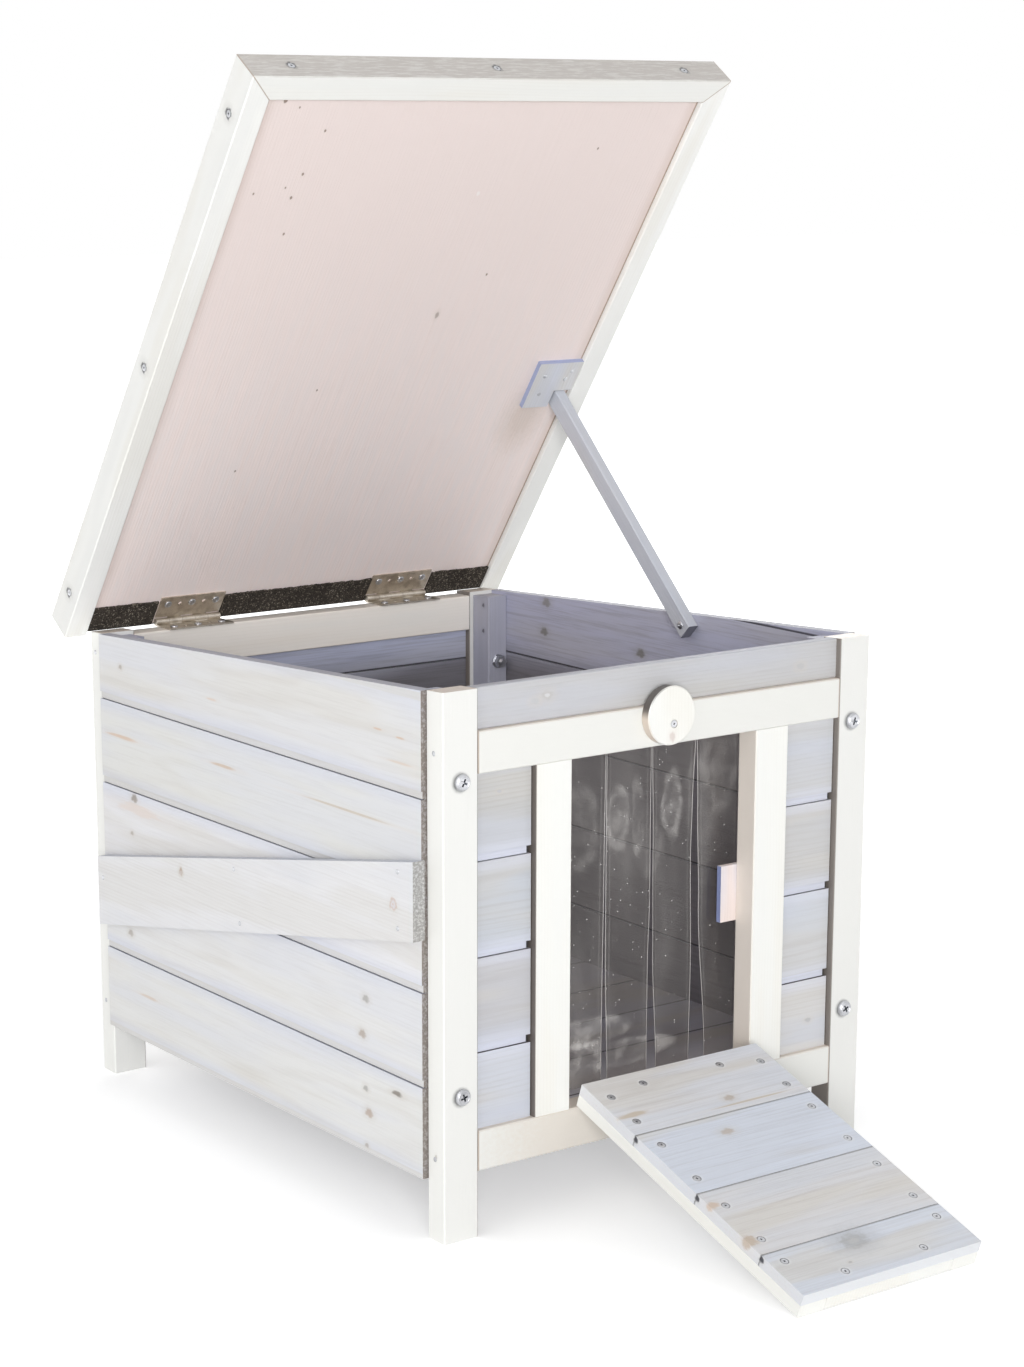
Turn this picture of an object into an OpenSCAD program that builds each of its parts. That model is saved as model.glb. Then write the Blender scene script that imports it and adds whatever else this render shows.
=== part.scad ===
// Outdoor cat house of slatted timber: a cabin on four posts with a pitched, propped lid,
// a strip-curtain doorway and a hinged ramp that also closes the doorway.
// X runs across the front, Y from front to back, Z up, and the posts stand on Z = 0.

/* [House] */
// Width across the outer faces of the posts
house_w = 400; // [360:1:480]
// Depth from the front faces to the back faces of the posts
house_d = 503; // [450:1:580]
// Height of the front posts
front_h = 404; // [395:1:430]
// Height of the back posts
back_h = 377; // [366:1:390]
// Width of a post across the front
post_w = 30; // [26:1:38]
// Depth of the posts, rails and stiles
post_d = 20; // [18:0.5:26]
// Height of the bottom rails above the ground
rail_z = 50; // [40:1:60]
// Height of every rail
rail_h = 30.5; // [26:0.5:34]
// Height of the board above the front top rail
top_board_h = 30.5; // [20:0.5:60]
// Flat taken off the long edges of the sticks
ease = 0.8; // [0.4:0.1:1.5]

/* [Doorway] */
// Width of the doorway between the stiles
door_w = 174; // [150:1:200]
// Width of a door stile
stile_w = 32; // [26:1:38]
// Height of the stop plate above the sill
stop_up = 111.5; // [60:0.5:180]
// Height of the stop plate
stop_h = 44; // [30:1:60]
// Width of the stop plate that stands in the doorway
stop_in = 15; // [8:1:24]
// Width of the stop plate that lies on the stile
stop_on = 23; // [14:1:26]
// Thickness of the stop plate
stop_t = 4.5; // [3:0.5:6]

/* [Boards] */
// Thickness of the tongued boards
board_t = 10; // [8:0.5:12]
// Width that one tongued board covers
board_pitch = 70.5; // [60:0.5:80]
// Thickness of a tongue
tongue_t = 3; // [2:0.5:4]
// Height of a tongue
tongue_h = 4.5; // [3:0.5:6]
// Open joint between two boards
joint_gap = 0.6; // [0.3:0.1:1]
// Height of the set-back lip above each joint
reveal_h = 5.5; // [3:0.5:8]
// Depth of the set-back lip
reveal_d = 1.2; // [0.5:0.1:1.5]
// Width of the lowest board beside the doorway
front_first = 56.5; // [30:0.5:70]
// Open joint between the boards beside the doorway and their stile or post
end_gap = 0.9; // [0.3:0.1:1.5]
// Width of the notch at the end of each of their joints
notch_x = 3; // [1:0.5:6]
// Width of the lowest board of the back wall
back_first = 25.5; // [20:0.5:70]

/* [Side walls] */
// Height of the lower edge of the side walls above the ground
side_z = 45; // [35:1:50]
// Width of the lowest side board
side_first = 68.5; // [40:0.5:72]
// Distance that the side boards stand out past the posts
side_proud = 4; // [2:0.5:6]
// Gap between the ends of the side boards and the posts
side_gap = 1; // [0.5:0.1:2]
// Width of a corner batten along X
batten_w = 20; // [18:0.5:24]
// Depth of a corner batten along Y
batten_d = 24; // [20:1:30]
// Distance from the battens' tops down from the roof plane
batten_low = 3; // [2:0.5:8]

/* [Floor] */
// Height of a floor bearer
bearer_h = 9; // [7:0.5:12]
// Thickness of the floor boards
floor_t = 10; // [8:0.5:12]

/* [Sign board] */
// Thickness of the sign board
sign_t = 10; // [6:0.5:12]
// Plumb height of the sign board's ends
sign_h = 58.2; // [40:0.1:70]
// Height of the front end's lower corner
sign_front_z = 224.5; // [180:0.5:260]
// Height of the back end's lower corner
sign_back_z = 135.5; // [100:0.5:200]
// Distance that the sign board leads the side boards at the front
sign_lead = 3.8; // [0:0.1:8]
// Distance that the sign board stops short of the side boards at the back
sign_short = 5.2; // [0:0.1:20]

/* [Lid] */
// Opening angle of the propped lid
lid_open = 52; // [42:0.5:53]
// Width of the strips round the lid
strip_w = 20; // [16:0.5:26]
// Height of the strips round the lid
strip_h = 28; // [26:0.5:34]
// Gap between the posts' outer faces and the side strips
lid_gap = 1; // [0.5:0.1:2]
// Distance from the strips' undersides up to the plywood
lid_recess = 4.5; // [4:0.1:6]
// Thickness of the plywood
ply_t = 15; // [12:0.5:18]
// Thickness of the roofing felt
felt_t = 2; // [1.5:0.1:2.5]
// Width of the felt turned in under the back edge
felt_in = 27; // [20:0.5:35]
// Distance that the lid reaches in front of the posts
lid_front = 28.6; // [26:0.2:50]
// Distance that the lid reaches behind its hinge pins
lid_rear = 5.3; // [5:0.1:7]

/* [Lid hinges] */
// Distance of each hinge from the middle of the lid
hinge_x = 106; // [80:1:120]
// Length of a lid hinge
hinge_l = 62; // [50:1:75]
// Distance from the pin to the edge of a leaf
hinge_reach = 25; // [22:0.5:28]
// Thickness of a leaf
leaf_t = 1.2; // [0.8:0.1:1.4]
// Radius of a lid hinge pin
pin_r = 1.75; // [1.2:0.05:2]
// Knuckles of a lid hinge
knuckles = 5; // [3:2:7]
// Distance between the outer screws of a leaf and its middle
hinge_screw_x = 23; // [16:0.5:24]
// Distance from the pin to the screws of a leaf
hinge_screw_y = 17.5; // [12:0.5:19]

/* [Stay] */
// Width of the stay
stay_w = 15.3; // [12:0.1:17]
// Thickness of the stay
stay_t = 10; // [8:0.5:11]
// Distance from the back of the house to the stay's pivot
stay_back = 297; // [290:1:320]
// Radius of the stay's screw
stay_screw_r = 2; // [1.5:0.1:2.5]
// Distance from the lid's back edge to the bracket
bracket_s = 215; // [200:1:220]
// Length of the bracket along the lid
bracket_l = 47; // [36:1:60]
// Width of the bracket across the lid
bracket_w = 45.7; // [36:0.1:60]
// Thickness of the bracket
bracket_t = 4.3; // [3:0.1:4.4]
// Length of the notch in the bracket
notch_l = 17; // [16.5:0.1:18]
// Width of the notch in the bracket
notch_w = 19.2; // [18:0.1:24]

/* [Ramp] */
// Gap between the ramp and each stile when it closes the doorway
ramp_side_gap = 3; // [2:0.5:5]
// Gap above the closed ramp
ramp_top_gap = 4.2; // [3.5:0.1:8]
// Thickness of the ramp's planks
plank_t = 9; // [7:0.5:9]
// Width of the plank next to the hinges
plank_first = 65.8; // [50:0.1:72]
// Width that each of the following planks covers
plank_pitch = 72.5; // [60:0.5:76]
// Thickness of the strips under the planks
under_t = 10.5; // [8:0.5:10.5]
// Width of the strips under the planks
under_w = 24; // [18:0.5:30]

/* [Ramp hinges] */
// Distance of each ramp hinge from the middle
ramp_hinge_x = 36; // [28:1:38]
// Length of a ramp hinge
ramp_hinge_l = 40; // [30:1:42]
// Distance from the pin to the edge of a ramp hinge's leaf
ramp_hinge_reach = 20; // [16:0.5:22]
// Thickness of a ramp hinge's leaf
ramp_leaf_t = 1; // [0.6:0.1:1.2]
// Radius of a ramp hinge's pin
ramp_pin_r = 1; // [0.8:0.05:1.2]

/* [Strip curtain] */
// Distance that the curtain is narrower than the doorway
flap_short = 2; // [0:0.5:10]
// Distance of the curtain's middle right of the doorway's middle
flap_x = 10.5; // [0:0.5:14]
// Thickness of the clear sheet
flap_t = 1.8; // [1:0.1:2.4]
// Gap between two strips at their tops
flap_gap = 0.6; // [0.4:0.1:1]
// Extra gap between two strips at their lower ends
flap_flare = 4; // [0.5:0.1:6]
// Gap between the strips and the sill
flap_up = 3.5; // [2:0.5:8]
// Thickness of the batten behind the top rail
flap_batten_t = 8; // [6:0.5:9]
// Height of the batten behind the top rail
flap_batten_h = 24; // [20:0.5:26]
// Thickness of the clamp strip
clamp_t = 3.2; // [2:0.1:5]

/* [Turn button] */
// Radius of the turn button
button_r = 22; // [18:0.5:24]
// Thickness of the turn button
button_t = 8.5; // [6:0.5:10]
// Distance from the turn button's middle to its screw
button_off = 6.6; // [5:0.1:13]
// Place of the turn button's screw right of the middle
button_x = -0.5; // [-10:0.5:10]
// Height of the turn button's screw above the top rail's lower edge
button_up = 17.1; // [14:0.1:18]
// Tilt of the turn button to the left
button_tilt = 17.5; // [0:0.5:60]

/* [Fasteners] */
// Radius of a corner bolt
bolt_r = 3; // [2.5:0.1:3.5]
// Height of the lower corner bolts above the bottom rails' undersides
bolt_up = 59; // [45:1:80]
// Distance of the upper front bolts below the posts' tops
bolt_down = 65; // [45:1:80]
// Distance of the upper back bolts below the posts' tops
back_bolt_down = 59; // [45:1:80]
// Radius of a corner bolt's head
bolt_head_r = 6.3; // [5.5:0.1:7.5]
// Height of a corner bolt's head
bolt_head_h = 3.6; // [2.5:0.1:4.5]
// Width of a nut across its flats
nut_af = 10; // [9:0.1:11]
// Height of a nut
nut_h = 5; // [4:0.1:6]
// Radius of a washer
washer_r = 6.2; // [5.8:0.1:8]
// Thickness of a washer
washer_t = 1.2; // [0.8:0.1:1.6]
// Radius of a nail
nail_r = 1.1; // [0.8:0.05:1.3]
// Radius of a nail's head
nail_head_r = 1.9; // [1.6:0.05:2.4]
// Radius of a wood screw
screw_r = 1.7; // [1.3:0.05:1.9]
// Radius of a wood screw's head
screw_head_r = 3.1; // [2.6:0.05:3.6]

/* [Hidden] */
$fn = 32;

// Colours of the finishes
WHITE = [0.94, 0.94, 0.92];
GREY = [0.86, 0.86, 0.86];
BLUE = [0.80, 0.83, 0.88];
PLY = [0.89, 0.85, 0.84];
FELT = [0.22, 0.20, 0.18];
ZINC = [0.78, 0.79, 0.82];
NICKEL = [0.55, 0.52, 0.48];
CLEAR = [0.75, 0.78, 0.80, 0.5];

// Clearances
fit = 0.2;          // between a tongue and its groove
seat = 0.3;         // between a piece and what it fits between
bore_gap = 0.05;    // round a fastener in its bore, and round a hinge pin
turn_gap = 0.08;    // round a screw that a piece turns on
min_board = 12;     // narrowest board that is still laid
over = 1;           // how far a cut runs past the surface

// Roof plane, on which the lid rests when it is closed
roof_slope = atan((front_h - back_h) / house_d);
function roof_z(y) = front_h - (front_h - back_h) * y / house_d;

// Places across the house
half_w = house_w / 2;
rail_x = half_w - post_w;
wall_out = half_w + side_proud;
wall_in = wall_out - board_t;
batten_x = wall_in - batten_w;
bolt_x = wall_in - batten_w / 2;
inset = (post_d - board_t) / 2;
side_y0 = post_d + side_gap;
side_y1 = house_d - post_d - side_gap;

// Places up the front
sill_z = rail_z + rail_h;
door_h = front_h - top_board_h - rail_h - sill_z;
top_rail_z = sill_z + door_h;
top_rail_top = top_rail_z + rail_h;
stile_x = door_w / 2;
front_bolt_z = [rail_z + bolt_up, front_h - bolt_down];
back_bolt_z = [rail_z + bolt_up, back_h - back_bolt_down];
frame_nail_l = 45;
bearer_z = side_z + over;
floor_z = bearer_z + bearer_h;

// Lid hinge
knuckle_r = pin_r + bore_gap + leaf_t;
hinge_stand = knuckle_r + seat;
axis_y = house_d + hinge_stand;
axis_z = roof_z(axis_y) + (lid_recess - hinge_stand) / cos(roof_slope);
back_rail_top = axis_z - hinge_stand;
back_rail_z = back_rail_top - rail_h;
lid_angle = roof_slope + lid_open;
hinge_screw_l = 12;

// Lid, from its own hinge axis: Y runs to the back and Z out of the top
strip_z = hinge_stand - lid_recess;
strip_in = half_w + lid_gap;
strip_out = strip_in + strip_w;
ply_half = strip_in - seat;
lid_back = lid_rear;
lid_front_y = -(axis_y + lid_front) / cos(roof_slope);
ply_front = lid_front_y + strip_w + seat;
ply_back = lid_back - felt_t;
strip_screw_s = [37.6, 270, 500];
strip_screw_x = [-1, 0, 1] * (half_w - 18);
strip_screw_z = hinge_stand + ply_t * 0.65;
strip_screw_l = strip_w + 14;

// Stay: its tip stands in the bracket's notch, against the plywood
stay_x = wall_in - seat - stay_t;
pivot_y = house_d - stay_back;
pivot_z = roof_z(pivot_y) - (stay_w / 2 + seat) / cos(roof_slope);
notch_d = bracket_s + notch_l - lid_back;
lid_dir = [-cos(lid_angle), sin(lid_angle)];
lid_normal = [sin(lid_angle), cos(lid_angle)];
function tip_at(tilt) = [axis_y, axis_z]
    + (notch_d - seat - stay_w / 2 * cos(tilt)) * lid_dir
    + (hinge_stand - seat - stay_w / 2 * sin(tilt)) * lid_normal;
function lean(p) = atan2(p[1] - pivot_z, p[0] - pivot_y);
function settle(tilt, turns) = turns == 0 ? tilt
    : settle(lean(tip_at(tilt)) - (90 - lid_angle), turns - 1);
stay_tilt = settle(10, 5);
stay_tip = tip_at(stay_tilt);
stay_lean = lean(stay_tip);
stay_l = norm(stay_tip - [pivot_y, pivot_z]);

// Ramp, from its own hinge axis: Y runs into the doorway and Z up when it is closed
ramp_knuckle_r = ramp_pin_r + bore_gap + ramp_leaf_t;
ramp_axis_y = -(ramp_knuckle_r + seat);
ramp_axis_z = sill_z + seat;
ramp_out = -ramp_axis_y + seat;
plank_out = ramp_out + under_t;
ramp_in = plank_out + plank_t;
ramp_z0 = 0.7;
ramp_z1 = door_h - ramp_top_gap - seat;
ramp_half = stile_x - ramp_side_gap;
ramp_reach = norm([ramp_out, ramp_z1]);
ramp_angle = atan2(ramp_out, ramp_z1) + acos(-(ramp_axis_z - seat) / ramp_reach);
plank_at = [ramp_z0, each joints(ramp_z0, ramp_z1, plank_first, plank_pitch), ramp_z1];
plank_screw_at = [[0.316, 0.792], [0.223, 0.8], [0.255, 0.807], [0.247]];
plank_screw_z = [for (i = [0:len(plank_at) - 2], f = plank_screw_at[min(i, 3)])
    plank_at[i] + f * (plank_at[i + 1] - plank_at[i])];
cross_screw_x = ramp_half * 0.44;
cross_screw_z = [14.6, ramp_z1 - 10.5];
plank_screw_l = plank_t + under_t - 2;
ramp_screw_z = [8, 15];
ramp_screw_l = 9;

// Strip curtain
flap_n = 4;
flap_w = (door_w - flap_short) / flap_n;
flap_x0 = flap_x - flap_w * flap_n / 2;
flap_y = post_d + flap_batten_t + flap_t / 2;
flap_z = top_rail_z + 2.3;
flap_batten_z = top_rail_z + 5;
flap_l = flap_z - sill_z - flap_up;
batten_more = 4;
clamp_y = flap_y + flap_t / 2;
flap_screw_edge = 6;
flap_screw_x = [for (i = [0:3]) flap_x + (i / 3 - 0.5) * (flap_w * flap_n - 2 * flap_screw_edge)];
flap_screw_l = clamp_t + flap_t + flap_batten_t + 11;

// Sign board
sign_y0 = side_y0 - sign_lead;
sign_l = side_y1 - sign_short - sign_y0;
function sign_low(run) = sign_front_z + (sign_back_z - sign_front_z) * run / sign_l;
sign_nail = [[19, 51.2], [19, 9.7], [sign_l * 0.526, 50], [sign_l * 0.51, 7], [sign_l - 8.5, 40]];

// The whole is centred between the ramp's lower end and the lid's back edge
ramp_tip_y = ramp_axis_y + ramp_in * cos(ramp_angle) - ramp_z1 * sin(ramp_angle);
lid_tip_y = axis_y + lid_back * cos(lid_angle) + (strip_z + strip_h) * sin(lid_angle);
y_mid = (ramp_tip_y + lid_tip_y) / 2;

// Frames of reference
module house() translate([0, -y_mid, 0]) children();
module on_lid() house() translate([0, axis_y, axis_z]) rotate([-lid_angle, 0, 0]) children();
module on_ramp() house() translate([0, ramp_axis_y, ramp_axis_z])
    rotate([ramp_angle, 0, 0]) children();
module both_sides() {
    children();
    mirror([1, 0, 0]) children();
}

// Timber sections and sticks
module eased(a, b) polygon([
    [ease, 0], [a - ease, 0], [a, ease], [a, b - ease],
    [a - ease, b], [ease, b], [0, b - ease], [0, ease]
]);
module stick_x(p, q) translate(p) rotate([90, 0, 90])
    linear_extrude(q[0] - p[0]) eased(q[1] - p[1], q[2] - p[2]);
module stick_y(p, q) translate([p[0], q[1], p[2]]) rotate([90, 0, 0])
    linear_extrude(q[1] - p[1]) eased(q[0] - p[0], q[2] - p[2]);
module stick_z(p, q) translate(p) linear_extrude(q[2] - p[2]) eased(q[0] - p[0], q[1] - p[1]);
module above_roof(low = 0) translate([-house_w, 0, 0]) rotate([90, 0, 90])
    linear_extrude(2 * house_w) polygon([
        [-house_d, roof_z(-house_d) - low], [2 * house_d, roof_z(2 * house_d) - low],
        [2 * house_d, 2 * front_h], [-house_d, 2 * front_h]
    ]);

// Tongued boards: X through the thickness from the show face, Y across the boards
function joints(lo, hi, first, pitch) =
    [for (z = lo + first; z < hi - min_board; z = z + pitch) z];
module board(lo, hi, t, tongue, groove, lip) {
    gap = groove ? joint_gap : 0;
    difference() {
        union() {
            translate([0, lo + gap]) square([t, hi - lo - gap]);
            if (tongue) translate([(t - tongue_t) / 2, hi - over])
                square([tongue_t, tongue_h + over]);
        }
        if (groove) {
            translate([(t - tongue_t) / 2 - fit, lo])
                square([tongue_t + 2 * fit, tongue_h + fit]);
            translate([-over, lo]) square([over + lip, gap + reveal_h]);
        }
    }
}
module boards(lo, hi, first, pitch, t, lip) {
    at = [lo, each joints(lo, hi, first, pitch), hi];
    for (i = [0:len(at) - 2])
        board(at[i], at[i + 1], t, i < len(at) - 2, i > 0, lip);
}

// Fasteners: Z runs out of the head, and the head's seat is at Z = 0
module bolt() rotate_extrude() polygon([
    [0, bolt_head_h], [bolt_head_r * 0.55, bolt_head_h], [bolt_head_r * 0.9, bolt_head_h * 0.7],
    [bolt_head_r, bolt_head_h * 0.35], [bolt_head_r, 0], [bolt_r, 0],
    [bolt_r, -bolt_l + over], [bolt_r - over, -bolt_l], [0, -bolt_l]
]);
bolt_grip = post_d + batten_d;
bolt_l = bolt_grip + washer_t + nut_h + 2.5;
module bolt_hole() translate([0, 0, -bolt_grip - over])
    cylinder(r = bolt_r + bore_gap, h = bolt_grip + 2 * over);
module washer() translate([0, 0, -bolt_grip - washer_t]) difference() {
    cylinder(r = washer_r, h = washer_t);
    translate([0, 0, -over]) cylinder(r = bolt_r + bore_gap, h = washer_t + 2 * over);
}
module nut() translate([0, 0, -bolt_grip - washer_t - nut_h]) difference() {
    cylinder(r = nut_af / sqrt(3), h = nut_h, $fn = 6);
    translate([0, 0, -over]) cylinder(r = bolt_r + bore_gap, h = nut_h + 2 * over);
}
module nail(l) rotate_extrude() polygon([
    [0, 0.6], [nail_head_r * 0.6, 0.6], [nail_head_r, 0.2], [nail_head_r, 0],
    [nail_r, 0], [nail_r, -l + 2], [0, -l]
]);
module nail_hole(l) translate([0, 0, -l]) cylinder(r = nail_r + bore_gap, h = l + over);
module flat_screw(l, r = screw_r, grow = 0) rotate_extrude() polygon([
    [0, grow], [screw_head_r + grow, grow], [screw_head_r + grow, -0.4],
    [r + grow, -0.4 - (screw_head_r - r)], [r + grow, -l + 2], [0, -l - grow]
]);
module round_screw(l, r = screw_r) rotate_extrude() polygon([
    [0, 1.2], [screw_head_r * 0.6, 1.2], [screw_head_r, 0.4], [screw_head_r, 0],
    [r, 0], [r, -l + 2], [0, -l]
]);
module screw_hole(l, r = screw_r) translate([0, 0, -l - bore_gap])
    cylinder(r = r + bore_gap, h = l + bore_gap + over);

// Places of the fasteners; the first three are on the right and are mirrored for the left
module at_front_bolts() for (z = front_bolt_z)
    translate([bolt_x, 0, z]) rotate([90, 0, 0]) children();
module at_back_bolts() for (z = back_bolt_z)
    translate([bolt_x, house_d, z]) rotate([-90, 0, 0]) children();
module at_frame_nails() for (p = [
    [post_d / 2 + 1, rail_z + 12.3], [post_d / 2 + 1, top_rail_z + 16.6],
    [house_d - post_d / 2 + 2.4, rail_z + 12.3], [house_d - post_d / 2 + 2.4, back_rail_z + 16.6]
]) translate([half_w, p[0], p[1]]) rotate([0, 90, 0]) children();
module at_sign_nails() for (p = sign_nail)
    translate([-wall_out - sign_t, sign_y0 + p[0], sign_low(p[0]) + p[1]])
        rotate([0, -90, 0]) children();
module at_stop_nails() for (z = [0.27, 0.73])
    translate([stile_x + stop_on / 2, post_d + stop_t, sill_z + stop_up + z * stop_h])
        rotate([-90, 0, 0]) children();
module at_flap_screws() for (x = flap_screw_x)
    translate([x, clamp_y + clamp_t, flap_batten_z + flap_batten_h / 2])
        rotate([-90, 0, 0]) children();
module at_button() translate([button_x, -seat - button_t, top_rail_z + button_up])
    rotate([90, 0, 0]) children();
module at_pivot() translate([stay_x - 0.1, pivot_y, pivot_z]) rotate([0, -90, 0]) children();
module at_lid_hinges() for (x = [-hinge_x, hinge_x]) translate([x, 0, 0]) children();
module at_leaf_screws() at_lid_hinges() for (x = [-1, 0, 1] * hinge_screw_x)
    translate([x, -hinge_screw_y, leaf_t - hinge_stand]) children();
module at_ramp_hinges() for (x = [-ramp_hinge_x, ramp_hinge_x]) translate([x, 0, 0]) children();
module at_ramp_leaf_screws() at_ramp_hinges() for (i = [-1, 1])
    translate([i * ramp_hinge_l * 0.3, -ramp_hinge_reach * 0.65, 0]) children();
module at_side_strip_screws() for (s = strip_screw_s) if (s < lid_back - lid_front_y - strip_w)
    translate([strip_out, lid_back - s, strip_screw_z]) rotate([0, 90, 0]) children();
module at_front_strip_screws() for (x = strip_screw_x)
    translate([x, lid_front_y, strip_screw_z]) rotate([90, 0, 0]) children();
module at_plank_screws() {
    for (x = [-1, 1] * (ramp_half - under_w / 2), z = plank_screw_z)
        translate([x, ramp_in, z]) rotate([-90, 0, 0]) children();
    for (x = [-1, 1] * cross_screw_x, z = cross_screw_z)
        translate([x, ramp_in, z]) rotate([-90, 0, 0]) children();
}

// Hinge leaf: the pin lies on X, the leaf reaches to -Y on the +Z side
module leaf(l, reach, t, r, bore, stand, own) {
    pitch = l / knuckles;
    difference() {
        union() {
            translate([-l / 2, -reach, stand - t]) cube([l, reach - r - seat, t]);
            for (i = [own:2:knuckles - 1]) translate([-l / 2 + i * pitch + fit / 2, 0, 0]) {
                rotate([0, 90, 0]) cylinder(r = r, h = pitch - fit);
                translate([0, -r - seat - over, stand - t]) cube([pitch - fit, r + seat + over, t]);
            }
        }
        translate([-l / 2 - over, 0, 0]) rotate([0, 90, 0]) cylinder(r = bore, h = l + 2 * over);
    }
}
module lid_leaf(own) difference() {
    leaf(hinge_l, hinge_reach, leaf_t, knuckle_r, pin_r + bore_gap, hinge_stand, own);
    for (x = [-1, -0.5, 0, 0.5, 1] * hinge_screw_x) translate([x, -hinge_screw_y, 0])
        cylinder(r = screw_r + bore_gap, h = hinge_stand + over);
}
module ramp_leaf(own, stand) difference() {
    leaf(ramp_hinge_l, ramp_hinge_reach, ramp_leaf_t, ramp_knuckle_r, ramp_pin_r + bore_gap,
        stand, own);
    for (i = [-1, 1]) translate([i * ramp_hinge_l * 0.3, -ramp_hinge_reach * 0.65, 0])
        cylinder(r = screw_r + bore_gap, h = stand + over);
}

// Posts, on the right
module front_post() color(WHITE) difference() {
    stick_z([rail_x, 0, 0], [half_w, post_d, front_h]);
    above_roof();
    at_front_bolts() bolt_hole();
    at_frame_nails() nail_hole(frame_nail_l);
}
module back_post() color(WHITE) difference() {
    stick_z([rail_x, house_d - post_d, 0], [half_w, house_d, front_h]);
    above_roof();
    at_back_bolts() bolt_hole();
    at_frame_nails() nail_hole(frame_nail_l);
}
module leg_front_left() house() mirror([1, 0, 0]) front_post();
module leg_front_right() house() front_post();
module leg_back_left() house() mirror([1, 0, 0]) back_post();
module leg_back_right() house() back_post();

// Front frame
module front_top_board() color(GREY) house() difference() {
    stick_x([-rail_x, inset, top_rail_top], [rail_x, inset + board_t, front_h]);
    above_roof();
}
module front_top_rail() color(WHITE) house() difference() {
    stick_x([-rail_x, 0, top_rail_z], [rail_x, post_d, top_rail_top]);
    both_sides() at_frame_nails() nail_hole(frame_nail_l);
    at_flap_screws() screw_hole(flap_screw_l);
    at_button() screw_hole(button_t + 10);
}
module front_bottom_rail() color(WHITE) house() difference() {
    stick_x([-rail_x, 0, rail_z], [rail_x, post_d, sill_z]);
    both_sides() at_frame_nails() nail_hole(frame_nail_l);
    at_ramp_rail_screws() screw_hole(ramp_screw_l);
}
module stile() color(WHITE) difference() {
    stick_z([stile_x, 0, sill_z], [stile_x + stile_w, post_d, top_rail_z]);
    at_stop_nails() nail_hole(stop_t + 12);
}
module door_stile_left() color(WHITE) house() mirror([1, 0, 0])
    stick_z([stile_x, 0, sill_z], [stile_x + stile_w, post_d, top_rail_z]);
module door_stile_right() house() stile();
module front_boards(x0, x1) difference() {
    translate([x0, inset, 0]) rotate([90, 0, 90]) linear_extrude(x1 - x0)
        boards(sill_z, top_rail_z, front_first, board_pitch, board_t, reveal_d);
    for (z = joints(sill_z, top_rail_z, front_first, board_pitch))
        translate([x1 - notch_x, inset - over, z])
            cube([notch_x + over, (board_t - tongue_t) / 2 + over, joint_gap + reveal_h]);
}
module front_boards_left() color(BLUE) house()
    front_boards(seat - rail_x, -stile_x - stile_w - end_gap);
module front_boards_right() color(BLUE) house()
    front_boards(stile_x + stile_w + seat, rail_x - end_gap);
module door_stop() color(PLY) house() difference() {
    stop_z = sill_z + stop_up;
    translate([stile_x - stop_in, post_d, stop_z]) cube([stop_in + stop_on, stop_t, stop_h]);
    at_stop_nails() nail_hole(stop_t + 12);
}

// Side walls, drawn on the left
module side_boards() difference() {
    translate([-wall_out, side_y1, 0]) rotate([90, 0, 0]) linear_extrude(side_y1 - side_y0)
        boards(side_z, front_h, side_first, board_pitch, board_t, reveal_d);
    above_roof();
}
module side_boards_left() color(GREY) house() difference() {
    side_boards();
    at_sign_nails() nail_hole(sign_t + board_t - 2);
}
module side_boards_right() color(GREY) house() difference() {
    mirror([1, 0, 0]) side_boards();
    at_pivot() screw_hole(stay_t + board_t - 1, stay_screw_r);
}
module sign_board() color(GREY) house() difference() {
    translate([-wall_out - sign_t, sign_y0, 0]) rotate([90, 0, 90]) linear_extrude(sign_t)
        polygon([
            [0, sign_low(0)], [sign_l, sign_low(sign_l)],
            [sign_l, sign_low(sign_l) + sign_h], [0, sign_low(0) + sign_h]
        ]);
    at_sign_nails() nail_hole(sign_t + board_t - 2);
}

// Corner battens, on the right
module batten(y) color(GREY) difference() {
    stick_z([batten_x, y, bearer_z], [wall_in, y + batten_d, front_h]);
    above_roof(batten_low);
    at_front_bolts() bolt_hole();
    at_back_bolts() bolt_hole();
}
module batten_front_left() house() mirror([1, 0, 0]) batten(post_d);
module batten_front_right() house() batten(post_d);
module batten_back_left() house() mirror([1, 0, 0]) batten(house_d - post_d - batten_d);
module batten_back_right() house() batten(house_d - post_d - batten_d);

// Back wall
module back_top_rail() color(WHITE) house() difference() {
    stick_x([-rail_x, house_d - post_d, back_rail_z], [rail_x, house_d, back_rail_top]);
    both_sides() at_frame_nails() nail_hole(frame_nail_l);
    translate([0, axis_y, axis_z]) at_leaf_screws() screw_hole(hinge_screw_l);
}
module back_bottom_rail() color(WHITE) house() difference() {
    stick_x([-rail_x, house_d - post_d, rail_z], [rail_x, house_d, sill_z]);
    both_sides() at_frame_nails() nail_hole(frame_nail_l);
}
module back_boards() color(BLUE) house() translate([seat - rail_x, house_d - inset, 0])
    rotate([90, 0, 90]) mirror([1, 0]) linear_extrude(2 * (rail_x - seat))
        boards(sill_z, back_rail_z, back_first, board_pitch, board_t, reveal_d);

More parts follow.
